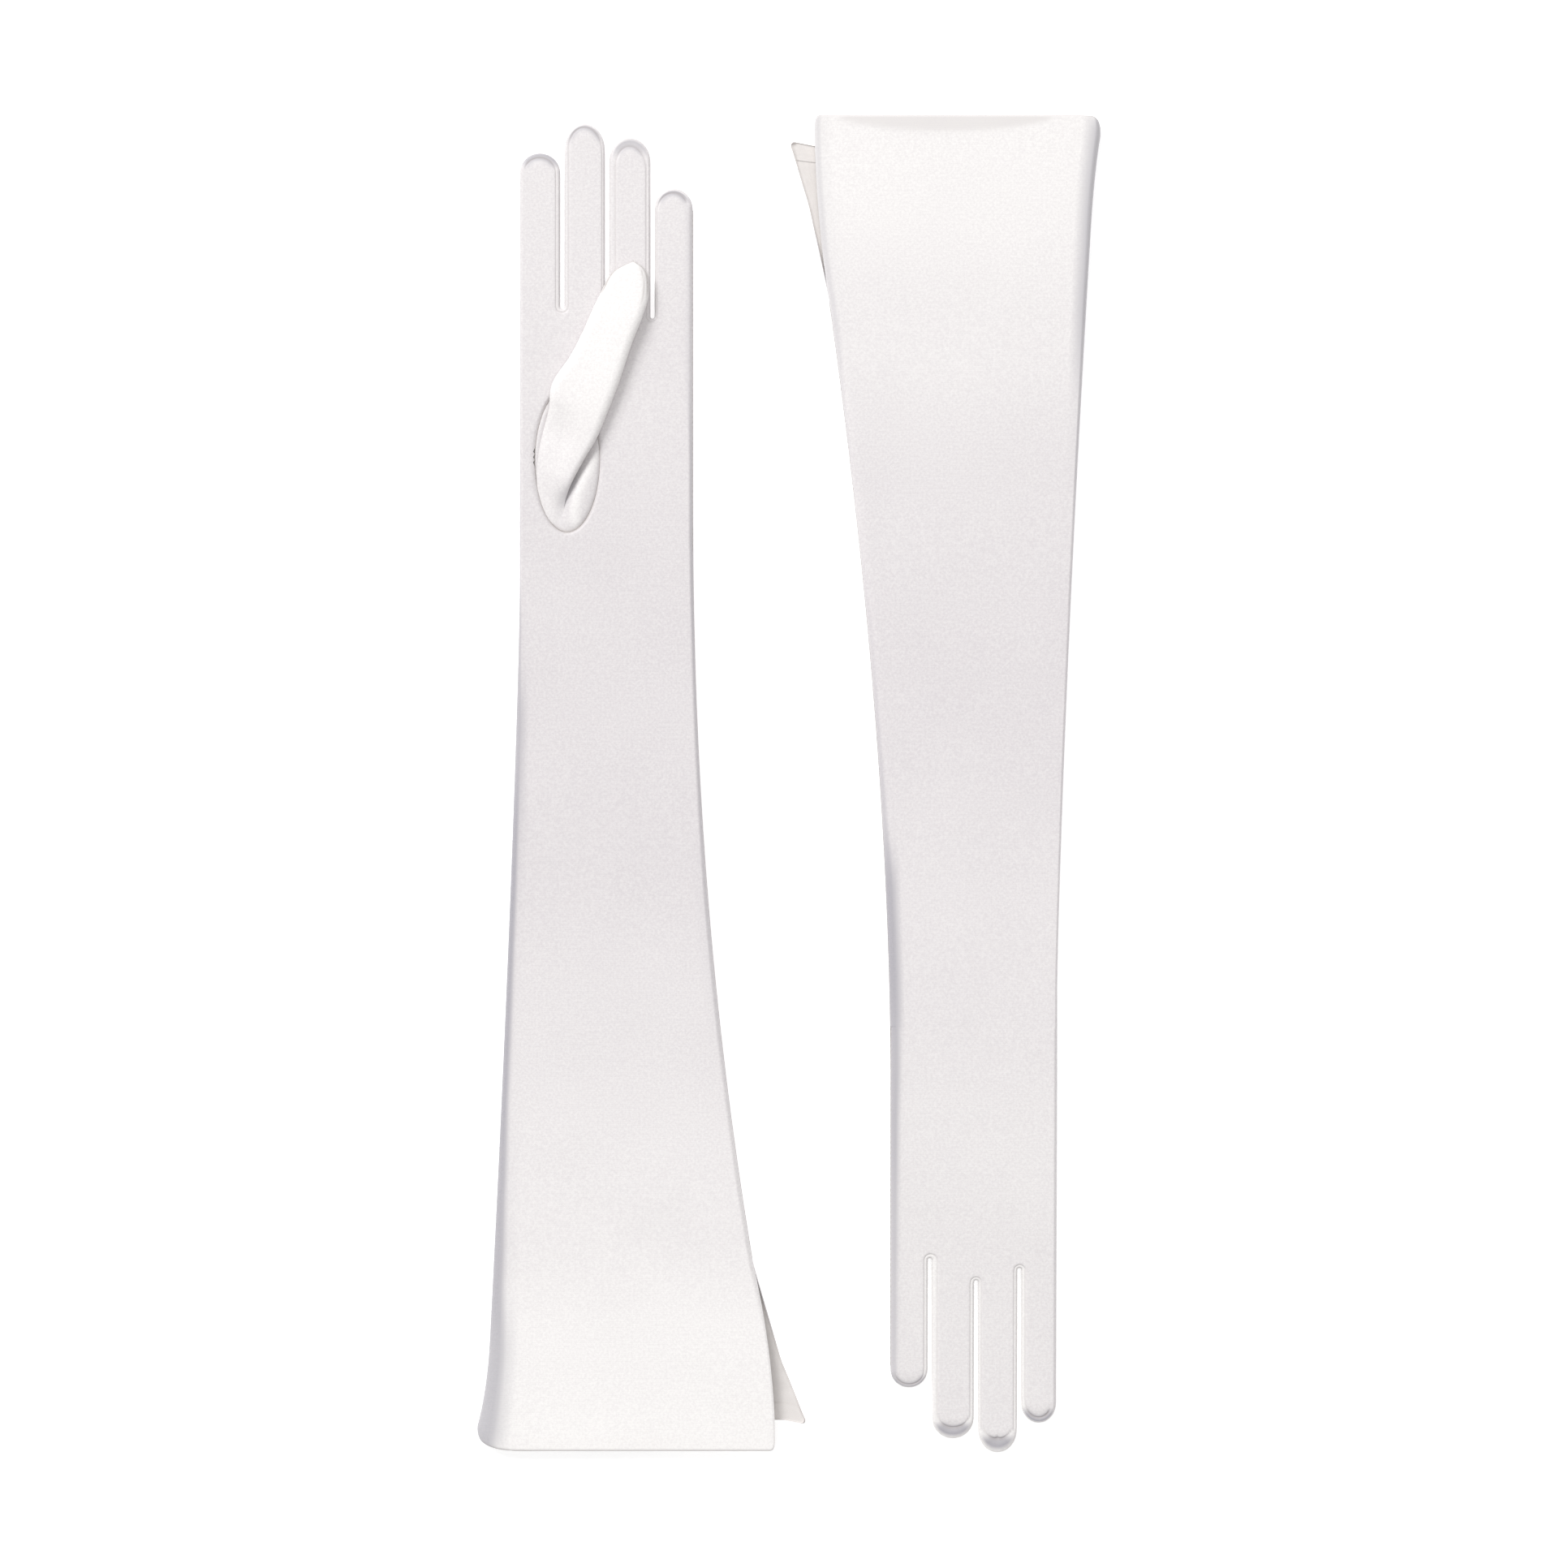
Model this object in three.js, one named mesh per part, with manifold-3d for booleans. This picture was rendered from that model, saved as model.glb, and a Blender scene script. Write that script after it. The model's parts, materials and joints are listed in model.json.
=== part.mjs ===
// A pair of long opera gloves in stretch satin, laid flat side by side. The left glove lies palm up with
// its fingers to +Y and its thumb folded over the palm. The right glove lies palm down with its fingers
// to -Y and its thumb folded under the palm.
//
// Each glove is built palm up in its own frame: u runs across the hand from the index finger's edge,
// v runs along the glove from the hem to the fingertips, and w runs from the back of the hand to the palm.
// The right glove is the same build reflected through a point, which makes it a right hand, palm down.
//
// The cloth of a glove is one trank (palm, back and sleeve in one), folded along the index finger's edge
// and sewn along the little finger's edge, a thumb set into an oval hole in the palm, and a fourchette
// between each two fingers. What bends is divided where it folds: at the elbow, the wrist and the
// fingers' middle knuckles.

import * as THREE from "three";
import { mergeVertices } from "three/addons/utils/BufferGeometryUtils.js";
import Module from "manifold-3d";

const wasm = await Module();
wasm.setup();

// ---------------------------------------------------------------- driving dimensions, in millimetres

const CLOTH = 0.6; // thickness of the satin
const CLEARANCE = 0.3; // space between neighbouring pieces
const THREAD = 0.6; // diameter of the sewing thread
const ROLL = 2.7; // how far the round edge of a flat glove stands out past its panels
const FINGER_GAP = 1.9; // space between two fingers
const GLOVE_SPACING = 242.4; // from one glove's index edge to the other's
const GLOVE_OFFSET = 3.3; // how much further the right glove's hem reaches than the left glove's tips

const HAND_LENGTH = 209; // middle fingertip to wrist
const FOREARM_LENGTH = 240; // wrist to elbow
const KNUCKLE_DEPTH = 57; // middle fingertip to the line of the middle knuckles

const TIP_DEPTH = { index: 13.3, middle: 0, ring: 6.3, little: 29.3 }; // below the middle fingertip
const TIP_ROUND = { index: 1.0, middle: 1.4, ring: 1.3, little: 1.1 }; // tip's height over its half width
const CROTCH_DEPTH = [83.5, 78, 88]; // below the middle fingertip, from the index finger's side

const HEM_DEPTH = 11; // width of the hem that is turned inside
const HEM_CORNER = { rise: 8, run: 18 }; // round corner of the hem at the folded edge

const THUMB_LENGTH = 95.5; // centre of the oval hole, where the thumb swings, to thumb tip
const THUMB_TILT = 19; // degrees from the fingers' direction, towards the little finger
const THUMB_WIDTH = { base: 27, middle: 28, tip: 24 };
const THUMB_HEIGHT = 5.6; // thickness of the thumb as it lies
const THUMB_FROM_EDGE = 21.6; // centre of the oval hole to the index edge
const THUMB_FROM_WRIST = 55; // centre of the oval hole to the wrist
const THUMB_HOLE = { width: 29, length: 68 }; // oval opening in the palm
const THUMB_MOUTH = { width: 14, length: 22 }; // way from the hand into the thumb

const LEFT = {
  name: "left",
  length: 599,
  fingerWidths: { index: 18.3, middle: 18.3, ring: 18.7, little: 17.2 },
  indexFlare: { reach: 16, power: 1.3, flick: 3.8 },
  seamFlare: { reach: 43.3, power: 2.13 },
  ventLength: 85,
  topCorner: { u: 115.3, v: 0 },
  underCorner: { u: 124.4, v: 13 },
};
const RIGHT = {
  name: "right",
  length: 603.5,
  fingerWidths: { index: 15.8, middle: 17.6, ring: 19, little: 16.8 },
  indexFlare: { reach: 18.7, power: 1.3, flick: 2.2 },
  seamFlare: { reach: 40.7, power: 1.81 },
  ventLength: 82,
  topCorner: { u: 109.4, v: 0 },
  underCorner: { u: 120.8, v: 11 },
};

// Thickness of the flat glove at the hem, the elbow, the hand and the fingertips.
const THICKNESS = { hem: 9, elbow: 7.6, hand: 5.8, tip: 5.6 };

// ---------------------------------------------------------------- what follows from them

const FINGERS = ["index", "middle", "ring", "little"];
const FLARE_ABOVE_WRIST = 40; // the seam side starts to widen this far past the wrist
const FLICK_LENGTH = 50; // the folded edge turns out over this length at the hem
const EDGE_LAND = 0.06; // upright share of a plate's round edge
const ROLL_STEPS = 2; // facets of a quarter of a round edge
const ARC_STEPS = 5; // facets of a curve, or of half a fingertip
const SIDE_STEPS = 8; // facets of a flaring side
const FAR = 300; // past every part of a glove
const SEAM_SLOT = THREAD + 2 * CLEARANCE; // space between two sewn edges
const SEAM_TIP_STOP = 10; // the little finger's seam ends this far short of its tip

const SATIN = new THREE.MeshStandardMaterial({ color: 0xf1eeec, roughness: 0.42, metalness: 0 });
const WRONG_SIDE = new THREE.MeshStandardMaterial({ color: 0xe9e3df, roughness: 0.8, metalness: 0 });
const COTTON = new THREE.MeshStandardMaterial({ color: 0xe4dfdb, roughness: 0.7, metalness: 0 });

const mix = (a, b, t) => a + (b - a) * t;

// ---------------------------------------------------------------- solids

/** A closed geometry as a manifold solid. */
function solid(geometry) {
  const bare = geometry.clone();
  for (const name of ["normal", "uv"]) bare.deleteAttribute(name);
  const merged = mergeVertices(bare, 1e-4);
  return new wasm.Manifold(
    new wasm.Mesh({
      numProp: 3,
      vertProperties: new Float32Array(merged.attributes.position.array),
      triVerts: new Uint32Array(merged.index.array),
    }),
  );
}

/** A manifold solid as a named mesh. */
function piece(name, made, material) {
  const { numProp, numVert, vertProperties, triVerts } = made.getMesh();
  const points = new Float32Array(numVert * 3);
  for (let i = 0; i < numVert; i++) {
    points.set(vertProperties.subarray(i * numProp, i * numProp + 3), i * 3);
  }
  const geometry = new THREE.BufferGeometry();
  geometry.setAttribute("position", new THREE.BufferAttribute(points, 3));
  geometry.setIndex(new THREE.BufferAttribute(new Uint32Array(triVerts), 1));
  geometry.computeVertexNormals();
  const mesh = new THREE.Mesh(geometry, material);
  mesh.name = name;
  return mesh;
}

/** Moves a geometry's z from 0..1 to between two heights that change with v. */
function raise(geometry, low, high) {
  const p = geometry.getAttribute("position");
  for (let i = 0; i < p.count; i++) {
    const v = p.getY(i);
    p.setZ(i, mix(low(v), high(v), p.getZ(i)));
  }
  return geometry;
}

/** A flat outline with upright sides, between two heights. */
function prism(shape, low, high) {
  const options = { depth: 1, bevelEnabled: false, curveSegments: ARC_STEPS };
  return solid(raise(new THREE.ExtrudeGeometry(shape, options), low, high));
}

/** A flat outline whose edge swells out past it by roll, between two heights. */
function plate(shape, roll, low, high) {
  const geometry = new THREE.ExtrudeGeometry(shape, {
    depth: EDGE_LAND,
    bevelThickness: (1 - EDGE_LAND) / 2,
    bevelSize: roll,
    bevelSegments: ROLL_STEPS,
    curveSegments: ARC_STEPS,
  });
  geometry.translate(0, 0, (1 - EDGE_LAND) / 2);
  return solid(raise(geometry, low, high));
}

/** The cloth round a plate: its skin, inset from the outline by a given distance. */
function skin(shape, inset, low, high) {
  const layer = (depth) =>
    plate(
      shape,
      ROLL - depth,
      (v) => low(v) + depth,
      (v) => high(v) - depth,
    );
  return layer(inset).subtract(layer(inset + CLOTH));
}

/** A box between two corners, given as [u, v, w]. */
function block(from, to) {
  const size = to.map((x, k) => x - from[k]);
  const geometry = new THREE.BoxGeometry(...size);
  geometry.translate(...from.map((x, k) => x + size[k] / 2));
  return solid(geometry);
}

const slab = (from, to) => block([-FAR, from, -FAR], [FAR, to, FAR]);

/** A thread of round section along a list of points. */
function thread(points) {
  const curve = new THREE.CatmullRomCurve3(points.map((p) => new THREE.Vector3(...p)));
  const section = new THREE.Shape().absarc(0, 0, THREAD / 2, 0, 2 * Math.PI);
  const options = { steps: points.length - 1, extrudePath: curve, curveSegments: 3 };
  return solid(new THREE.ExtrudeGeometry(section, options));
}

const ellipse = (width, length) => new THREE.Shape().absellipse(0, 0, width / 2, length / 2, 0, 2 * Math.PI);

/** An outline through a list of points. */
const polygon = (points) => new THREE.Shape(points.map(([u, v]) => new THREE.Vector2(u, v)));

// ---------------------------------------------------------------- the plan of a glove

/** Works out the lines and places that a glove's pieces share. */
function layOut(glove) {
  const tip = glove.length;
  const wrist = tip - HAND_LENGTH;
  const elbow = wrist - FOREARM_LENGTH;
  const knuckle = tip - KNUCKLE_DEPTH;
  let edge = 0;
  const fingers = FINGERS.map((name) => {
    const width = glove.fingerWidths[name];
    const finger = { name, from: edge, to: edge + width, tip: tip - TIP_DEPTH[name] };
    finger.tipHeight = (width / 2 - ROLL) * TIP_ROUND[name];
    edge += width + FINGER_GAP;
    return finger;
  });
  const handWidth = edge - FINGER_GAP;
  const crotches = CROTCH_DEPTH.map((depth, k) => ({
    u: fingers[k].to + FINGER_GAP / 2,
    v: tip - depth + FINGER_GAP / 2,
  }));
  const { indexFlare, seamFlare, ventLength, topCorner, underCorner } = glove;
  const share = (v, start) => Math.max(0, (start - v) / start);

  const indexEdge = (v) =>
    -indexFlare.reach * share(v, wrist) ** indexFlare.power - indexFlare.flick * share(v, FLICK_LENGTH) ** 2;
  const seamEdge = (v) =>
    handWidth + seamFlare.reach * share(v, wrist + FLARE_ABOVE_WRIST) ** seamFlare.power;
  const ventStart = seamEdge(ventLength) - ROLL;
  const ventEdge = (corner) => (v) => {
    const t = (ventLength - v) / (ventLength - corner.v);
    return mix(ventStart, corner.u, mix(t, t * t, 0.35));
  };
  const underEdge = ventEdge(underCorner);
  const topEdge = ventEdge(topCorner);
  const panelEdge = (v) => (v < ventLength ? underEdge(v) : seamEdge(v) - ROLL);
  return {
    ...glove,
    ...{ tip, wrist, elbow, knuckle, fingers, crotches, handWidth },
    ...{ indexEdge, seamEdge, panelEdge, topEdge, underEdge },
  };
}

/** Points down or up a side of the sleeve. */
function side(edge, from, to, steps = SIDE_STEPS) {
  return Array.from({ length: steps + 1 }, (_, i) => {
    const v = mix(from, to, i / steps);
    return [edge(v), v];
  });
}

/** The outline of a glove's flat panels, inside its round edge. */
function panelShape(plan) {
  const { fingers, crotches, wrist, handWidth, ventLength, indexEdge, panelEdge } = plan;
  const below = -FLICK_LENGTH; // the outline runs on past the hem, where the mouth is cut
  const shape = new THREE.Shape();
  shape.moveTo(indexEdge(0) + ROLL, below);
  for (const [u, v] of side(indexEdge, 0, wrist)) shape.lineTo(u + ROLL, v);
  fingers.forEach((finger, k) => {
    const half = (finger.to - finger.from) / 2 - ROLL;
    const top = finger.tip - ROLL - finger.tipHeight;
    shape.lineTo(finger.from + ROLL, top);
    shape.absellipse(finger.from + ROLL + half, top, half, finger.tipHeight, Math.PI, 0, true);
    const crotch = crotches[k];
    if (crotch) shape.absarc(crotch.u, crotch.v, FINGER_GAP / 2 + ROLL, Math.PI, 2 * Math.PI, false);
  });
  shape.lineTo(handWidth - ROLL, wrist + FLARE_ABOVE_WRIST);
  const flare = side(panelEdge, wrist + FLARE_ABOVE_WRIST, ventLength);
  const vent = side(panelEdge, ventLength, plan.underCorner.v, SIDE_STEPS / 2);
  for (const [u, v] of [...flare.slice(1), ...vent.slice(1)]) shape.lineTo(u, v);
  shape.lineTo(plan.underCorner.u, below);
  return shape;
}

/** The outline of the slot that a fourchette fills, grown by a clearance. */
function slotShape(crotch, grown) {
  const half = FINGER_GAP / 2 + ROLL + grown;
  const shape = new THREE.Shape();
  shape.absarc(crotch.u, crotch.v, half, Math.PI, 2 * Math.PI, false);
  shape.lineTo(crotch.u + half, crotch.v + FAR);
  shape.lineTo(crotch.u - half, crotch.v + FAR);
  return shape;
}

/** Heights of the back and the palm along a glove, straight between the hem, elbow, hand and tips. */
function heights(plan, lifts) {
  const stations = [
    [0, THICKNESS.hem, lifts.hem],
    [plan.elbow, THICKNESS.elbow, lifts.elbow],
    [plan.wrist, THICKNESS.hand, lifts.hand],
    [plan.knuckle, THICKNESS.hand, lifts.hand],
    [plan.tip, THICKNESS.tip, lifts.tip],
  ];
  return stations.slice(1).map(([v1, thick1, lift1], k) => {
    const [v0, thick0, lift0] = stations[k];
    const line = (a, b) => (v) => mix(a, b, (v - v0) / (v1 - v0));
    return { back: line(lift0, lift1), palm: line(lift0 + thick0, lift1 + thick1) };
  });
}

const middleOf = (height) => (v) => (height.back(v) + height.palm(v)) / 2;

/** The space of the upper or the lower half of a flat glove. */
const halfSpace = (height, palmSide) => {
  const whole = polygon([
    [-FAR, -FAR],
    [FAR, -FAR],
    [FAR, FAR * 3],
    [-FAR, FAR * 3],
  ]);
  const low = palmSide ? middleOf(height) : () => -FAR;
  const high = palmSide ? () => FAR : middleOf(height);
  return prism(whole, low, high);
};

const everywhere = [() => -FAR, () => FAR];

// ---------------------------------------------------------------- the pieces of a glove

/** What the mouth of the sleeve loses: the vent on the seam side and the shape of the hem. */
function mouthCuts(plan, height) {
  const { ventLength, topCorner, underCorner, topEdge, underEdge, indexEdge } = plan;
  const top = halfSpace(height, plan.topIsPalm);
  const under = halfSpace(height, !plan.topIsPalm);
  const beyond = (edge, corner) => {
    const line = side(edge, ventLength, corner.v, SIDE_STEPS / 2);
    return polygon([...line, [corner.u, -FAR], [FAR, -FAR], [FAR, ventLength]]);
  };
  const roundCorner = new THREE.Shape();
  const { rise, run } = HEM_CORNER;
  roundCorner.moveTo(-FAR, -FAR);
  roundCorner.lineTo(run, -FAR);
  roundCorner.lineTo(run, 0);
  roundCorner.quadraticCurveTo(indexEdge(0) + 2, 0, indexEdge(rise) - 1, rise);
  roundCorner.lineTo(-FAR, rise);
  const slope = underCorner.v / (underCorner.u - run);
  const underHem = polygon([
    [run, 0],
    [run, -FAR],
    [FAR, -FAR],
    [FAR, (FAR - run) * slope],
  ]);
  return [
    prism(beyond(underEdge, underCorner), ...everywhere),
    prism(roundCorner, ...everywhere),
    prism(beyond(topEdge, topCorner), ...everywhere).intersect(top),
    prism(underHem, ...everywhere).intersect(under),
  ];
}

/** The slot along the little finger's edge where the palm and the back are sewn together. */
function seamSlot(plan, height, from, to) {
  const edge = (v) => plan.seamEdge(v);
  const inner = side((v) => edge(v) - ROLL, from, to);
  const outer = side((v) => edge(v) + ROLL, from, to).reverse();
  const middle = middleOf(height);
  return prism(
    polygon([...inner, ...outer]),
    (v) => middle(v) - SEAM_SLOT / 2,
    (v) => middle(v) + SEAM_SLOT / 2,
  );
}

/** The thread in the side seam, between two places along the glove. */
function seamThread(plan, height, from, to) {
  const middle = middleOf(height);
  const line = side((v) => plan.seamEdge(v) - THREAD / 2, from, to);
  return thread(line.map(([u, v]) => [u, v, middle(v)]));
}

/** The upper sleeve, its turned hem and its stretch of the side seam. */
function buildUpperSleeve(plan, shape, height) {
  const end = plan.elbow - CLEARANCE / 2;
  const cuts = mouthCuts(plan, height);
  const without = (made) => cuts.reduce((left, cut) => left.subtract(cut), made);
  const sleeve = without(skin(shape, 0, height.back, height.palm).intersect(slab(0, end))).subtract(
    seamSlot(plan, height, plan.ventLength, plan.elbow),
  );
  const lining = skin(shape, CLOTH + CLEARANCE, height.back, height.palm);
  const turned = without(lining.intersect(slab(0, HEM_DEPTH + plan.underCorner.v)));
  const slope = plan.underCorner.v / (plan.underCorner.u - HEM_CORNER.run);
  const aboveTop = slab(HEM_DEPTH, FAR).intersect(halfSpace(height, plan.topIsPalm));
  const aboveUnder = prism(
    polygon([
      [-FAR, HEM_DEPTH],
      [HEM_CORNER.run, HEM_DEPTH],
      [FAR, HEM_DEPTH + (FAR - HEM_CORNER.run) * slope],
      [FAR, FAR],
      [-FAR, FAR],
    ]),
    ...everywhere,
  ).intersect(halfSpace(height, !plan.topIsPalm));
  return [
    piece(`${plan.name}_upper_sleeve`, sleeve, SATIN),
    piece(`${plan.name}_turned_hem`, turned.subtract(aboveTop).subtract(aboveUnder), WRONG_SIDE),
    piece(
      `${plan.name}_upper_seam_thread`,
      seamThread(plan, height, plan.ventLength + SEAM_SLOT, end - CLEARANCE),
      COTTON,
    ),
  ];
}

/** The forearm of the sleeve and its stretch of the side seam. */
function buildForearm(plan, shape, height) {
  const from = plan.elbow + CLEARANCE / 2;
  const to = plan.wrist - CLEARANCE / 2;
  const sleeve = skin(shape, 0, height.back, height.palm)
    .intersect(slab(from, to))
    .subtract(seamSlot(plan, height, plan.elbow - CLEARANCE, plan.wrist + CLEARANCE));
  return [
    piece(`${plan.name}_forearm_sleeve`, sleeve, SATIN),
    piece(
      `${plan.name}_forearm_seam_thread`,
      seamThread(plan, height, from + CLEARANCE, to - CLEARANCE),
      COTTON,
    ),
  ];
}

/** The hand: palm and back with the lower halves of the fingers, and the oval hole for the thumb. */
function buildHand(plan, shape, height) {
  const from = plan.wrist + CLEARANCE / 2;
  const to = plan.knuckle - CLEARANCE / 2;
  const cloth = skin(shape, 0, height.back, height.palm).intersect(slab(from, to));
  const hole = prism(ellipse(THUMB_HOLE.width, THUMB_HOLE.length), ...everywhere)
    .translate([THUMB_FROM_EDGE, plan.wrist + THUMB_FROM_WRIST, 0])
    .intersect(halfSpace(height, true));
  let hand = cloth
    .subtract(seamSlot(plan, height, plan.wrist - CLEARANCE, plan.knuckle + CLEARANCE))
    .subtract(hole);
  const pieces = [];
  plan.crotches.forEach((crotch, k) => {
    const pair = `${FINGERS[k]}_${FINGERS[k + 1]}`;
    hand = hand.subtract(prism(slotShape(crotch, CLEARANCE / 2), ...everywhere));
    const base = cloth.intersect(prism(slotShape(crotch, -CLEARANCE / 2), ...everywhere));
    pieces.push(piece(`${plan.name}_fourchette_${pair}`, base, SATIN));
  });
  return [
    piece(`${plan.name}_hand`, hand, SATIN),
    ...pieces,
    piece(
      `${plan.name}_hand_seam_thread`,
      seamThread(plan, height, from + CLEARANCE, to - CLEARANCE),
      COTTON,
    ),
  ];
}

/** The upper half of one finger, past its middle knuckle, with the fourchettes on its sides. */
function buildFinger(plan, shape, height, k) {
  const finger = plan.fingers[k];
  const from = plan.knuckle + CLEARANCE / 2;
  const room = block(
    [finger.from - FINGER_GAP / 2, from, -FAR],
    [finger.to + FINGER_GAP / 2, plan.tip + FAR, FAR],
  );
  const cloth = skin(shape, 0, height.back, height.palm).intersect(room);
  let stall = cloth;
  const pieces = [];
  [k - 1, k].forEach((slot) => {
    const crotch = plan.crotches[slot];
    if (!crotch) return;
    const facing = FINGERS[slot === k ? k + 1 : k - 1];
    stall = stall.subtract(prism(slotShape(crotch, CLEARANCE / 2), ...everywhere));
    const leg = cloth.intersect(prism(slotShape(crotch, -CLEARANCE / 2), ...everywhere));
    pieces.push(piece(`${plan.name}_${finger.name}_fourchette_to_${facing}`, leg, SATIN));
  });
  if (finger.name === "little") {
    const stop = finger.tip - SEAM_TIP_STOP;
    stall = stall.subtract(seamSlot(plan, height, plan.knuckle - CLEARANCE, stop + CLEARANCE));
    const line = seamThread(plan, height, from + CLEARANCE, stop);
    pieces.push(piece(`${plan.name}_little_seam_thread`, line, COTTON));
  }
  return [piece(`${plan.name}_${finger.name}_finger`, stall, SATIN), ...pieces];
}

/** The outline of the thumb's flat panel, from the centre of its oval hole along +v. */
function thumbShape() {
  const half = (width) => width / 2 - ROLL;
  const { base, middle, tip } = THUMB_WIDTH;
  const shoulder = THUMB_LENGTH - ROLL - half(tip);
  const shape = new THREE.Shape();
  shape.absarc(0, 0, half(base), Math.PI, 2 * Math.PI, false);
  shape.bezierCurveTo(half(middle), shoulder / 3, half(middle), (shoulder * 2) / 3, half(tip), shoulder);
  shape.absarc(0, shoulder, half(tip), 0, Math.PI, false);
  shape.bezierCurveTo(-half(middle), (shoulder * 2) / 3, -half(middle), shoulder / 3, -half(base), 0);
  return shape;
}

/** The thumb's stall, its base in the oval hole, and the thread that sews the base to the palm. */
function buildThumb(plan, height) {
  const roof = height.palm(plan.wrist + THUMB_FROM_WRIST);
  const floor = roof + CLEARANCE;
  const cloth = skin(
    thumbShape(),
    0,
    () => 0,
    () => THUMB_HEIGHT,
  );
  const mouth = prism(
    ellipse(THUMB_MOUTH.width, THUMB_MOUTH.length),
    () => -FAR,
    () => THUMB_HEIGHT / 2,
  );
  const stall = piece(`${plan.name}_thumb`, cloth.subtract(mouth), SATIN);
  stall.rotation.z = -THREE.MathUtils.degToRad(THUMB_TILT);
  stall.position.z = floor;

  const ring = (outer, inner, low, high) =>
    prism(ellipse(...outer), low, high).subtract(prism(ellipse(...inner), ...everywhere));
  const { width, length } = THUMB_HOLE;
  const inset = (by) => [width - 2 * by, length - 2 * by];
  const base = ring(
    inset(SEAM_SLOT),
    [THUMB_MOUTH.width, THUMB_MOUTH.length],
    () => roof - CLOTH,
    () => roof,
  );
  const stitching = ring(
    inset(CLEARANCE),
    inset(CLEARANCE + THREAD),
    () => roof - CLOTH,
    () => roof - CLOTH + THREAD,
  );
  const thumb = new THREE.Group();
  thumb.position.set(THUMB_FROM_EDGE, plan.wrist + THUMB_FROM_WRIST, 0);
  thumb.add(
    stall,
    piece(`${plan.name}_thumb_base`, base, SATIN),
    piece(`${plan.name}_thumb_seam_thread`, stitching, COTTON),
  );
  return thumb;
}

/** A whole glove in its own frame. The lifts raise its back above w = 0 at the hem, elbow, hand and tips. */
function buildGlove(glove, topIsPalm, lifts) {
  const plan = { ...layOut(glove), topIsPalm };
  const shape = panelShape(plan);
  const [upper, forearm, hand, tips] = heights(plan, lifts);
  const group = new THREE.Group();
  group.add(
    ...buildUpperSleeve(plan, shape, upper),
    ...buildForearm(plan, shape, forearm),
    ...buildHand(plan, shape, hand),
    ...FINGERS.flatMap((_, k) => buildFinger(plan, shape, tips, k)),
    buildThumb(plan, hand),
  );
  return group;
}

// ---------------------------------------------------------------- the pair

/** The two gloves beside each other, standing on z = 0 round the origin. */
function buildPair() {
  const thumbRoom = THUMB_HEIGHT + 2 * CLEARANCE;
  const flat = { hem: 0, elbow: 0, hand: 0, tip: 0 };
  const left = buildGlove(LEFT, true, flat);

  // Palm down, the right glove's hand rests on its thumb, so that its sleeve lies lower than its hand.
  const top = thumbRoom + THICKNESS.hand;
  const right = buildGlove(RIGHT, false, {
    hem: top - THICKNESS.hem,
    elbow: top - THICKNESS.elbow,
    hand: 0,
    tip: top - THICKNESS.tip,
  });
  right.scale.set(-1, -1, -1);
  right.position.set(GLOVE_SPACING, LEFT.length + GLOVE_OFFSET, top);

  const pair = new THREE.Group();
  pair.add(left, right);
  pair.updateMatrixWorld(true);
  const box = new THREE.Box3().setFromObject(pair, true);
  const centre = box.getCenter(new THREE.Vector3());
  pair.position.set(-centre.x, -centre.y, -box.min.z);
  return pair;
}

export default buildPair();
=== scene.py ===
"""A pair of long satin opera gloves, laid flat on a pale floor under soft studio light.

Each glove is worked out in its own frame, in millimetres: u runs across the hand from the index
finger's edge, v runs along the glove from the hem to the fingertips, and w runs from the back of the
hand to the palm. A placement puts that frame into the scene. The left glove lies palm up, and the right
glove is the same build reflected through a point, which makes it a right hand, palm down.
"""

from __future__ import annotations

import json
import logging
import math
from dataclasses import dataclass, field
from enum import Enum
from typing import Iterable, Sequence

import bpy
import numpy as np
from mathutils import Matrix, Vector
from mathutils.geometry import delaunay_2d_cdt

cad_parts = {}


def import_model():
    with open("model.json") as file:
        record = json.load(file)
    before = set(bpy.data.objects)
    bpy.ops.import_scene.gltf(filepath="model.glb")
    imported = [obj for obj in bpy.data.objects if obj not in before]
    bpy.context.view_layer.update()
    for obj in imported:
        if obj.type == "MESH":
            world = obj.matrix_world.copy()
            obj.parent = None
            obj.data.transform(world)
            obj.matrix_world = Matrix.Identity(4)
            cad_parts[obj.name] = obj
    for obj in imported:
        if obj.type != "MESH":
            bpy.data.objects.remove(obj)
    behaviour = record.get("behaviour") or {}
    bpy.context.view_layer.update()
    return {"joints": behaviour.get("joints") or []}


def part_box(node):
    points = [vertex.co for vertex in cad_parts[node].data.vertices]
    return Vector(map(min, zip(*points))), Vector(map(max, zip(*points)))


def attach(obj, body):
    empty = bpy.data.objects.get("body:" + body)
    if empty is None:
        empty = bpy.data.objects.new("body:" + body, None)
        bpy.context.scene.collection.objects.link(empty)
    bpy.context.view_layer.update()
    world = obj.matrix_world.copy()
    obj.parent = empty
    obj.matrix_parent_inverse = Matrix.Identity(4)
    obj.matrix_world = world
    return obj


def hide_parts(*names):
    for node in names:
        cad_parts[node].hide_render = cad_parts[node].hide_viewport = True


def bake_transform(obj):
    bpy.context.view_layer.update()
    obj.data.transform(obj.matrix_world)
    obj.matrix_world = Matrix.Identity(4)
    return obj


LOG = logging.getLogger("opera_gloves")
MM = 0.001
FINGERS = ("index", "middle", "ring", "little")
SWELL_LENGTHS = (150.0, 95.0, 62.0, 41.0)  # from crest to crest of the cloth's slow swells
SWELL_PEAK = 2.3  # about the height of all of them together


class Face(Enum):
    """The two faces of a flat glove."""

    PALM = 1
    BACK = -1


class Side(Enum):
    """The two gloves of the pair."""

    LEFT = "left"
    RIGHT = "right"


# ---------------------------------------------------------------- small sums on arrays


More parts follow.
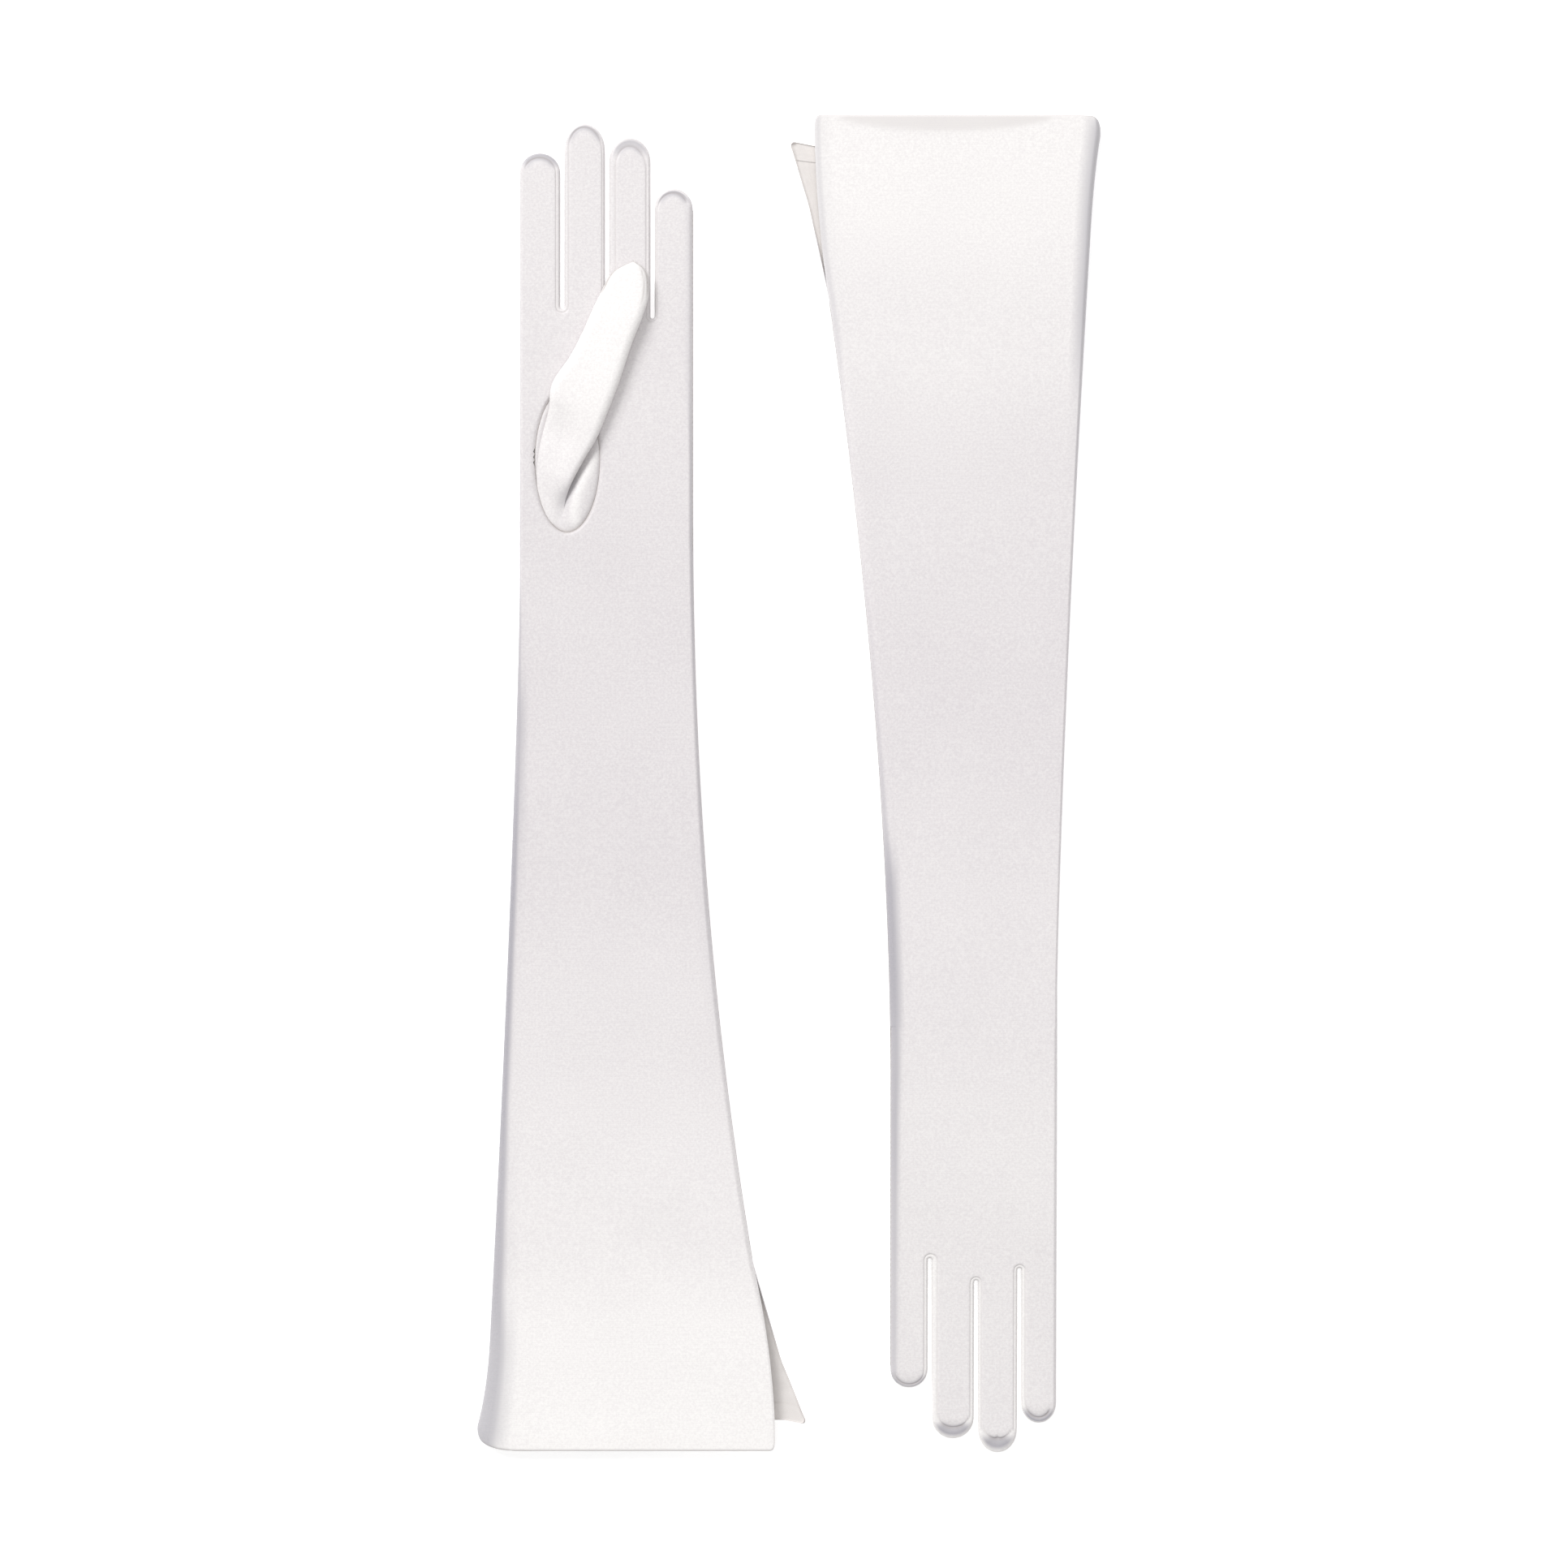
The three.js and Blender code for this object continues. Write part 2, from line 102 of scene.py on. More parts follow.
def smooth(t: np.ndarray | float) -> np.ndarray:
    """Smoothstep of t, held between 0 and 1."""
    t = np.clip(t, 0.0, 1.0)
    return t * t * (3 - 2 * t)


def bell(x: np.ndarray, width: float) -> np.ndarray:
    """A bump of height 1 at x = 0."""
    return np.exp(-((x / width) ** 2))


def quarter(t: np.ndarray) -> np.ndarray:
    """The height of a quarter circle, from 0 at t = 0 to 1 at t = 1 and beyond."""
    return np.sqrt(np.clip(1 - (1 - np.clip(t, 0, 1)) ** 2, 0, 1))


def through(stations: Sequence[tuple[float, float]], v: np.ndarray) -> np.ndarray:
    """A curve that eases from each station to the next.

    Args:
        stations: pairs of a place and the value there, in rising order of place.
        v: the places where the curve is wanted.

    Returns:
        The curve's values at v.
    """
    v = np.asarray(v, float)
    out = np.full(v.shape, stations[0][1])
    for (v0, a), (v1, b) in zip(stations, stations[1:]):
        out = out + (b - a) * smooth((v - v0) / (v1 - v0))
    return out


def spline(points: np.ndarray, count: int) -> np.ndarray:
    """A smooth curve through points.

    Args:
        points: the rows that the curve passes through.
        count: how many rows to return, evenly spread over the stretches.

    Returns:
        An array of count rows.
    """
    n = len(points)
    padded = np.vstack([2 * points[0] - points[1], points, 2 * points[-1] - points[-2]])
    t = np.linspace(0, n - 1, count)
    k = np.minimum(t.astype(int), n - 2)
    f = (t - k)[:, None]
    a, b, c, d = (padded[k + i] for i in range(4))
    return 0.5 * (2 * b + (c - a) * f + (2 * a - 5 * b + 4 * c - d) * f**2 + (3 * b - a - 3 * c + d) * f**3)


def ripples(u: np.ndarray, v: np.ndarray, seed: int) -> np.ndarray:
    """Slow swells of cloth that isn't quite flat.

    Args:
        u: places across.
        v: places along.
        seed: picks the swells' directions and phases.

    Returns:
        Heights between about -1 and 1.
    """
    rng = np.random.default_rng(seed)
    total = np.zeros_like(u)
    for length in SWELL_LENGTHS:
        angle, phase = rng.uniform(0.9, 2.2), rng.uniform(0, 2 * math.pi)
        along = u * math.cos(angle) + v * math.sin(angle)
        total += (length / SWELL_LENGTHS[0]) * np.sin(2 * math.pi * along / length + phase)
    return total / SWELL_PEAK


# ---------------------------------------------------------------- shader writing


class Value:
    """A shader socket that sums can be written on."""

    def __init__(self, shader: "Shader", socket: bpy.types.NodeSocket) -> None:
        """Wraps a socket of a shader."""
        self.shader = shader
        self.socket = socket

    def _sum(self, operation: str, first: "Value | float", second: "Value | float") -> "Value":
        """Adds one Math node and returns its result."""
        return self.shader.node("ShaderNodeMath", {"operation": operation}, {0: first, 1: second})

    def __add__(self, other: "Value | float") -> "Value":
        """self + other."""
        return self._sum("ADD", self, other)

    def __radd__(self, other: float) -> "Value":
        """other + self."""
        return self._sum("ADD", other, self)

    def __sub__(self, other: "Value | float") -> "Value":
        """self - other."""
        return self._sum("SUBTRACT", self, other)

    def __rsub__(self, other: float) -> "Value":
        """other - self."""
        return self._sum("SUBTRACT", other, self)

    def __mul__(self, other: "Value | float") -> "Value":
        """self * other."""
        return self._sum("MULTIPLY", self, other)

    def __rmul__(self, other: float) -> "Value":
        """other * self."""
        return self._sum("MULTIPLY", other, self)


class Shader:
    """Builds one node material."""

    def __init__(self, name: str) -> None:
        """Starts an empty material.

        Args:
            name: the material's name.
        """
        self.material = bpy.data.materials.new(name)
        self.material.use_nodes = True
        self.tree = self.material.node_tree
        self.tree.nodes.clear()

    def node(self, kind: str, settings: dict, inputs: dict, output: int | str = 0) -> Value:
        """Adds a node.

        Args:
            kind: the node's type.
            settings: its own settings by name, where "stops" are a colour ramp's.
            inputs: what its sockets get, by index or name: a number, a colour or a Value.
            output: the socket that the result is read from.

        Returns:
            The output as a Value.
        """
        made = self.tree.nodes.new(kind)
        for key, setting in settings.items():
            if key == "stops":
                self._fill_ramp(made.color_ramp, setting)
            else:
                setattr(made, key, setting)
        for key, given in inputs.items():
            if isinstance(given, Value):
                self.tree.links.new(given.socket, made.inputs[key])
            else:
                made.inputs[key].default_value = given
        return Value(self, made.outputs[output])

    @staticmethod
    def _fill_ramp(ramp: bpy.types.ColorRamp, stops: Sequence[tuple[float, float]]) -> None:
        """Gives a ramp its stops, as pairs of a place and a grey level."""
        while len(ramp.elements) < len(stops):
            ramp.elements.new(0.5)
        for element, (place, level) in zip(ramp.elements, stops):
            element.position = place
            element.color = (level, level, level, 1)

    def mask(self, name: str) -> Value:
        """A value that the mesh carries at its points."""
        return self.node("ShaderNodeAttribute", {"attribute_name": name}, {}, "Fac")

    def place(self) -> Value:
        """The place on the piece, in metres."""
        return self.node("ShaderNodeTexCoord", {}, {}, "Object")

    def noise(self, size_mm: float, detail: float = 2.0, roughness: float = 0.5) -> Value:
        """Noise with grains of about a size in millimetres."""
        shape = {"Scale": 1000.0 / size_mm, "Detail": detail, "Roughness": roughness}
        return self.node("ShaderNodeTexNoise", {}, {"Vector": self.place(), **shape}, "Fac")

    def blend(self, factor: Value | float, first: Value | tuple, second: Value | tuple) -> Value:
        """A colour between two colours."""
        settings = {"data_type": "RGBA", "clamp_factor": True}
        return self.node("ShaderNodeMix", settings, {0: factor, 6: first, 7: second}, 2)

    def finish(self, varying: dict, constant: dict) -> bpy.types.Material:
        """Ends the material in a Principled shader.

        Args:
            varying: what changes over the surface, by socket name.
            constant: plain values, by socket name.

        Returns:
            The finished material.
        """
        surface = self.node("ShaderNodeBsdfPrincipled", {}, {**constant, **varying})
        self.node_out(surface)
        return self.material

    def node_out(self, surface: Value) -> None:
        """Links a surface to the material's output."""
        out = self.tree.nodes.new("ShaderNodeOutputMaterial")
        self.tree.links.new(surface.socket, out.inputs["Surface"])


Colour = tuple[float, float, float, float]


@dataclass(frozen=True)
class SatinFinish:
    """The right side of the satin: a close, bright weave with a fine sparkle and a soft sheen."""

    name: str = "ivory_satin"
    light: Colour = (0.87, 0.85, 0.835, 1)
    dark: Colour = (0.61, 0.575, 0.59, 1)
    seam: Colour = (0.44, 0.40, 0.385, 1)
    # painted shade: the grey that the satin is given where it turns over an edge, round the fingertips and
    # in the thumb's creases
    fold: Colour = (0.335, 0.325, 0.36, 1)
    grain_mm: float = 1.1
    cloud_mm: float = 46.0
    pick_mm: float = 0.85
    tone_share: float = 0.86  # how much of the colour is the tone that the mesh carries, which is painted light and shade
    speck_share: float = 0.34
    pick_share: float = 0.06
    cloud_share: float = 0.16
    bump: float = 0.22
    bump_depth: float = 0.00012  # in metres
    roughness: float = 0.4
    sheen: float = 0.12

    def build(self) -> bpy.types.Material:
        """Makes the material.

        Returns:
            The material.
        """
        shader = Shader(self.name)
        grain = shader.noise(self.grain_mm, 3.0, 0.7)
        cloud = shader.noise(self.cloud_mm, 3.0, 0.55)
        picks = shader.node(
            "ShaderNodeTexWave",
            {"wave_type": "BANDS", "bands_direction": "Y", "wave_profile": "SIN"},
            {
                "Vector": shader.place(),
                "Scale": 0.314 / (self.pick_mm * MM),
                "Distortion": 2.2,
                "Detail": 2.0,
                "Detail Scale": 1.2,
            },
            "Fac",
        )
        speck = shader.node("ShaderNodeValToRGB", {"stops": [(0.36, 0.0), (0.66, 1.0)]}, {0: grain})
        # Painted light and shade: the mesh's tone, lighter towards the hem and the fingertips, sets most of
        # the satin's lightness; the grain, weave and clouds vary it at random.
        tone = shader.mask("tone") * self.tone_share
        changes = ((speck, self.speck_share), (picks, self.pick_share), (cloud, self.cloud_share))
        for change, amount in changes:
            tone = tone + (change - 0.5) * amount
        cloth = shader.blend(tone, self.dark, self.light)
        # Painted shade: the fold mask greys the satin along its turned edges, round the fingertips and in
        # the thumb's creases.
        fold_shaded = shader.blend(shader.mask("fold") * (0.85 + 0.15 * speck), cloth, self.fold)
        # The seam mask holds the stitched lines, and also painted shade: the dark line along the hem's
        # folded edge and the seams made darker in the shade round the fingertips.
        seams_and_shade = shader.mask("seam") * (0.55 + 0.45 * speck)
        colour = shader.blend(seams_and_shade, fold_shaded, self.seam)
        height = grain * 0.75 + picks * 0.25
        bump = {"Strength": self.bump, "Distance": self.bump_depth, "Height": height}
        normal = shader.node("ShaderNodeBump", {}, bump)
        rough = self.roughness + grain * 0.12
        return shader.finish(
            {"Base Color": colour, "Roughness": rough, "Normal": normal},
            {"Sheen Weight": self.sheen, "Sheen Roughness": 0.45, "Specular IOR Level": 0.4},
        )


@dataclass(frozen=True)
class WrongSideFinish:
    """The wrong side of the satin: dull, with a cream cast."""

    name: str = "satin_wrong_side"
    light: Colour = (0.82, 0.785, 0.765, 1)
    dark: Colour = (0.62, 0.585, 0.565, 1)
    roughness: float = 0.75

    def build(self) -> bpy.types.Material:
        """Makes the material.

        Returns:
            The material.
        """
        shader = Shader(self.name)
        grain = shader.noise(0.7, 3.0, 0.7)
        blotch = shader.noise(7.0, 3.0, 0.6)
        tone = grain * 0.45 + blotch * 0.6
        normal = shader.node("ShaderNodeBump", {}, {"Strength": 0.3, "Distance": 0.00015, "Height": grain})
        return shader.finish(
            {"Base Color": shader.blend(tone, self.dark, self.light), "Normal": normal},
            {"Roughness": self.roughness, "Sheen Weight": 0.15},
        )


@dataclass(frozen=True)
class ThreadFinish:
    """Matt sewing thread, twisted from fine plies."""

    name: str = "sewing_thread"
    light: Colour = (0.52, 0.48, 0.46, 1)
    dark: Colour = (0.30, 0.27, 0.26, 1)

    def build(self) -> bpy.types.Material:
        """Makes the material.

        Returns:
            The material.
        """
        shader = Shader(self.name)
        twist = shader.noise(0.6, 1.0, 0.5)
        normal = shader.node("ShaderNodeBump", {}, {"Strength": 0.4, "Distance": 0.0001, "Height": twist})
        return shader.finish(
            {"Base Color": shader.blend(twist, self.dark, self.light), "Normal": normal},
            {"Roughness": 0.7},
        )


@dataclass(frozen=True)
class Finishes:
    """The materials that the gloves are dressed in."""

    satin: bpy.types.Material
    wrong_side: bpy.types.Material
    thread: bpy.types.Material


# ---------------------------------------------------------------- cloth meshes


@dataclass
class Cloth:
    """A mesh in a glove's own frame, with values at its points."""

    points: np.ndarray
    faces: list[tuple[int, ...]]
    masks: dict[str, np.ndarray] = field(default_factory=dict)
    normals: np.ndarray | None = None
    edge_faces: int = 0  # how many of the last faces close a free edge
    edge_normals: np.ndarray | None = None

    def shaded(self) -> "Cloth":
        """Works out smooth normals over the whole mesh.

        Returns:
            This cloth.
        """
        total = np.zeros_like(self.points)
        for size in (3, 4):
            chosen = np.array([f for f in self.faces if len(f) == size], int).reshape(-1, size)
            if not len(chosen):
                continue
            corner = self.points[chosen]
            if size == 3:
                across = np.cross(corner[:, 1] - corner[:, 0], corner[:, 2] - corner[:, 0])
            else:
                across = np.cross(corner[:, 2] - corner[:, 0], corner[:, 3] - corner[:, 1])
            for k in range(size):
                np.add.at(total, chosen[:, k], across)
        length = np.linalg.norm(total, axis=1, keepdims=True)
        self.normals = total / np.maximum(length, 1e-12)
        return self

    def part(self, keep: np.ndarray) -> "Cloth":
        """The faces that are kept, with their points, values and normals.

        Args:
            keep: one truth value for each face.

        Returns:
            A smaller cloth.
        """
        faces = [f for f, k in zip(self.faces, keep) if k]
        used = np.unique(np.fromiter((i for f in faces for i in f), int))
        place = np.full(len(self.points), -1)
        place[used] = np.arange(len(used))
        moved = [tuple(int(place[i]) for i in f) for f in faces]
        masks = {name: values[used] for name, values in self.masks.items()}
        normals = None if self.normals is None else self.normals[used]
        return Cloth(self.points[used], moved, masks, normals)

    def centres(self) -> np.ndarray:
        """The middle of each face."""
        return np.array([self.points[list(f)].mean(0) for f in self.faces])

    def joined(self, other: "Cloth") -> "Cloth":
        """This cloth and another as one mesh.

        Args:
            other: the cloth whose points and faces come second.

        Returns:
            A cloth that holds both.
        """
        shift = len(self.points)
        faces = self.faces + [tuple(i + shift for i in f) for f in other.faces]
        names = set(self.masks) | set(other.masks)
        pair = (self, other)
        masks = {
            name: np.concatenate([c.masks.get(name, np.zeros(len(c.points))) for c in pair])
            for name in names
        }
        normals = None
        if self.normals is not None and other.normals is not None:
            normals = np.vstack([self.normals, other.normals])
        return Cloth(np.vstack([self.points, other.points]), faces, masks, normals)

    def welded(self) -> "Cloth":
        """The same mesh with points that lie together made into one.

        Returns:
            A new cloth, without normals.
        """
        keys = np.round(self.points * 1e4).astype(np.int64)
        _, first, back = np.unique(keys, axis=0, return_index=True, return_inverse=True)
        back = back.reshape(-1)
        faces = []
        for face in self.faces:
            ring = [int(back[i]) for i in face]
            ring = [a for a, b in zip(ring, ring[1:] + ring[:1]) if a != b]
            if len(ring) >= 3:
                faces.append(tuple(ring))
        return Cloth(self.points[first], faces, {k: m[first] for k, m in self.masks.items()})

    def area(self) -> float:
        """The area of all faces.

        Returns:
            Square millimetres.
        """
        total = 0.0
        for face in self.faces:
            corner = self.points[list(face)]
            for k in range(1, len(face) - 1):
                across = np.cross(corner[k] - corner[0], corner[k + 1] - corner[0])
                total += 0.5 * float(np.linalg.norm(across))
        return total


def lattice(rows: int, columns: int, start: int = 0, flip: bool = False) -> list[tuple[int, ...]]:
    """The faces between the points of a lattice.

    Args:
        rows: how many rows of points there are.
        columns: how many points a row has.
        start: the index of the first point.
        flip: whether the faces look the other way.

    Returns:
        Four-cornered faces.
    """
    faces = []
    for i in range(rows - 1):
        for j in range(columns - 1):
            a = start + i * columns + j
            face = (a, a + 1, a + columns + 1, a + columns)
            faces.append(face[::-1] if flip else face)
    return faces


@dataclass(frozen=True)
class Placement:
    """Puts a glove's own frame into the scene."""

    origin: tuple[float, float, float]
    sign: float

    def world(self, points: np.ndarray) -> np.ndarray:
        """Points of the glove's frame as places in metres."""
        return (np.array(self.origin) + self.sign * np.asarray(points, float)) * MM

    def point(self, u: float, v: float, w: float) -> tuple[float, float, float]:
        """One place in metres."""
        return tuple(float(x) for x in self.world(np.array([u, v, w])))

    def local(self, place: Vector) -> np.ndarray:
        """A place in metres as a point of the glove's frame."""
        return (np.array(place) / MM - np.array(self.origin)) * self.sign

    def hang(self, cloth: Cloth, name: str, materials: Sequence[bpy.types.Material]) -> bpy.types.Object:
        """Makes a Blender object of a cloth.

        Args:
            cloth: the mesh in the glove's frame.
            name: the object's name.
            materials: its materials, of which the mask "inside" picks the second.

        Returns:
            The new object.
        """
        faces = cloth.faces if self.sign > 0 else [f[::-1] for f in cloth.faces]
        mesh = bpy.data.meshes.new(name)
        mesh.from_pydata(self.world(cloth.points).tolist(), [], faces)
        for material in materials:
            mesh.materials.append(material)
        for mask, values in cloth.masks.items():
            attribute = mesh.attributes.new(mask, "FLOAT", "POINT")
            attribute.data.foreach_set("value", values.astype(np.float32))
        if "inside" in cloth.masks and len(materials) > 1:
            inside = cloth.masks["inside"]
            chosen = [int(min(inside[i] for i in f) > 0.5) for f in cloth.faces]
            mesh.polygons.foreach_set("material_index", chosen)
        mesh.polygons.foreach_set("use_smooth", [True] * len(mesh.polygons))
        if cloth.normals is not None:
            flat = len(faces) - cloth.edge_faces
            looks = [
                (cloth.normals if k < flat else cloth.edge_normals)[list(face)]
                for k, face in enumerate(faces)
            ]
            mesh.normals_split_custom_set((np.vstack(looks) * self.sign).tolist())
        mesh.update()
        made = bpy.data.objects.new(name, mesh)
        bpy.context.scene.collection.objects.link(made)
        return made


# ---------------------------------------------------------------- the plan of a glove


@dataclass(frozen=True)
class FingerCut:
    """How one finger is cut and sewn, in millimetres."""

    rise: float  # height of the round tip
    low_seam: float  # seam to edge on the index finger's side, 0 for the folded edge
    tip_seam: float  # seam to edge round the tip
    high_seam: float  # seam to edge on the little finger's side, 0 for the glove's sewn edge
    tip_fall: float  # how far the panel falls towards the tip's seam, as a share
    tip_fold_shade: float  # how dark the painted shade is in the fold round the tip
    tip_rim: float  # width of the pale rim outside that fold


@dataclass(frozen=True)
class GloveCut:
    """How one glove is cut and how it lies, in millimetres."""

    side: Side
    front: Face  # the face that is seen from above
    fingers: tuple[FingerCut, FingerCut, FingerCut, FingerCut]
    index_flare: tuple[float, float, float]  # reach, power and flick of the folded edge
    seam_flare: tuple[float, float]  # reach and power of the sewn edge
    vent: float  # length of the vent
    front_corner: float  # how far the front's corner stands out past the start of the vent
    under_corner: tuple[float, float]  # the same for the under layer, and how far its hem rises
    hem_round: tuple[float, float]  # rise and run of the hem's round corner
    hem_hollow: float  # how much creamier the cloth is where it sinks behind the hem
    index_roll: tuple[float, float, float]  # width of the round edge at the hem, elbow and hand
    seam_roll: tuple[float, float, float]
    index_fold_shade: tuple[tuple[float, float, float], ...]  # places, widths and depths of the painted shade
    seam_fold_shade: tuple[tuple[float, float, float], ...]  # along each long edge, where the satin turns over
    lifts: tuple[float, float, float, float]  # height of the back at the hem, elbow, hand and tips
    tone: tuple[tuple[float, float], ...]  # painted light and shade: how light the satin is painted at places along the glove
    strip_tone: float  # how light it is on the strips between the fingers
    seam_line: float  # how strongly the fingers' seams show
    tip_fade: float  # how far the painted shade in the fold round a tip reaches into the panel
    thumb_lean: float  # degrees that the thumb lies nearer to the index finger
    thumb_reach: float  # how far out the thumb lies, as a share of its cut length
    seed: int


LEFT_CUT = GloveCut(
    side=Side.LEFT,
    front=Face.PALM,
    fingers=(
        FingerCut(9.5, 0.0, 2.1, 1.8, 0.40, 0.80, 0.0),
        FingerCut(12.6, 2.0, 1.7, 1.1, 0.30, 0.74, 1.0),
        FingerCut(11.8, 3.0, 4.0, 1.8, 0.36, 0.60, 0.8),
        FingerCut(10.0, 1.0, 2.0, 0.0, 0.42, 0.85, 1.1),
    ),
    index_flare=(16.0, 1.3, 4.4),
    seam_flare=(43.3, 2.13),
    vent=85.0,
    front_corner=10.2,
    under_corner=(24.5, 13.2),
    hem_round=(9.0, 19.0),
    hem_hollow=0.02,
    index_roll=(9.0, 5.0, 1.5),
    seam_roll=(2.2, 2.2, 2.0),
    index_fold_shade=(
        (0, 9.0, 0.76), (39, 7.5, 0.76), (79, 4.8, 0.84), (120, 3.8, 0.86), (160, 3.0, 0.90),
        (241, 2.7, 0.94), (281, 2.6, 0.90), (321, 2.6, 0.72), (362, 1.2, 0.60), (402, 0.5, 0.50),
        (483, 0.5, 0.22), (560, 0.8, 0.12),
    ),
    seam_fold_shade=(
        (130, 1.0, 0.0), (204, 2.0, 0.18), (252, 1.8, 0.24), (299, 1.0, 0.38), (395, 1.1, 0.48),
        (442, 1.2, 0.42), (490, 2.8, 0.20),
    ),
    lifts=(0.0, 0.0, 0.0, 0.0),
    tone=(
        (0, 1.06), (40, 0.92), (110, 0.62), (190, 0.44), (270, 0.24), (400, 0.26), (480, 0.38), (560, 0.46),
    ),
    strip_tone=0.52,
    seam_line=0.30,
    tip_fade=1.5,
    thumb_lean=0.0,
    thumb_reach=1.0,
    seed=11,
)
RIGHT_CUT = GloveCut(
    side=Side.RIGHT,
    front=Face.BACK,
    fingers=(
        FingerCut(9.5, 0.0, 2.5, 1.6, 0.46, 1.0, 0.4),
        FingerCut(10.8, 1.4, 6.6, 1.3, 0.44, 0.95, 1.8),
        FingerCut(10.0, 1.6, 5.1, 2.4, 0.42, 0.95, 1.5),
        FingerCut(8.6, 1.5, 1.5, 0.0, 0.40, 0.85, 0.4),
    ),
    index_flare=(18.7, 1.3, 2.2),
    seam_flare=(40.7, 1.81),
    vent=82.0,
    front_corner=6.4,
    under_corner=(17.6, 12.9),
    hem_round=(6.0, 8.0),
    hem_hollow=0.34,
    index_roll=(2.6, 1.6, 1.2),
    seam_roll=(3.0, 4.5, 3.2),
    index_fold_shade=(
        (0, 3.4, 0.66), (21, 3.4, 0.68), (79, 3.2, 0.66), (138, 1.3, 0.46), (197, 0.8, 0.26),
        (314, 0.6, 0.14), (490, 1.4, 0.14),
    ),
    seam_fold_shade=(
        (94, 2.6, 0.32), (131, 1.0, 0.22), (175, 0.8, 0.05), (241, 1.8, 0.18), (277, 1.6, 0.36),
        (314, 2.0, 0.46), (351, 3.9, 0.86), (387, 4.2, 0.86), (424, 3.9, 0.74), (461, 3.2, 0.74),
        (497, 3.0, 0.62), (534, 2.8, 0.54), (590, 2.4, 0.50),
    ),
    lifts=(5.0, 6.4, 0.2, 8.6),
    tone=(
        (0, 0.88), (22, 0.88), (100, 0.62), (170, 0.36), (260, 0.22), (400, 0.40), (470, 0.64), (600, 0.56),
    ),
    strip_tone=0.95,
    seam_line=0.26,
    tip_fade=0.9,
    thumb_lean=1.0,
    thumb_reach=0.87,
    seed=29,
)

THICKNESS = (7.0, 5.6, 4.2, 3.4)  # of the flat glove at the hem, elbow, hand and tips
GAP = 0.95  # half the space between two fingers
FINGER_ROLL = 1.1  # width of the round edge of the fingers
FOURCHETTE_ROOT = 3.5  # from a fourchette's lowest point to the centre of its crotch
FLARE_ABOVE_WRIST = 40.0
FLICK_LENGTH = 50.0
HAND_START = 16.0  # the hand's own cloth starts this far past the wrist
FINGER_START = 15.0  # a finger's own cloth starts this far before the knuckle
ELBOW_FOLD = 16.0  # half the length over which the cloth would bend at each joint
WRIST_FOLD = 13.0
KNUCKLE_FOLD = 7.0
CLOTH_THICKNESS = 0.45
HEM_DEPTH = 11.0
VENT_OPENING = 34.0  # length over which the two layers part
SWELL_HEIGHT = 0.30  # of the cloth's slow swells on the sleeve
HAND_SWELL = 0.35  # share of that height left at the hand
THUMB_RIM = (14.8, 32.6)  # half sizes of the oval hole
THUMB_RIM_RISE = 2.0  # from the thumb's pivot to the middle of the oval
THUMB_BEND = ((0.0, 6.0), (9.0, 34.0))  # where the thumb would start and stop bending, from its pivot
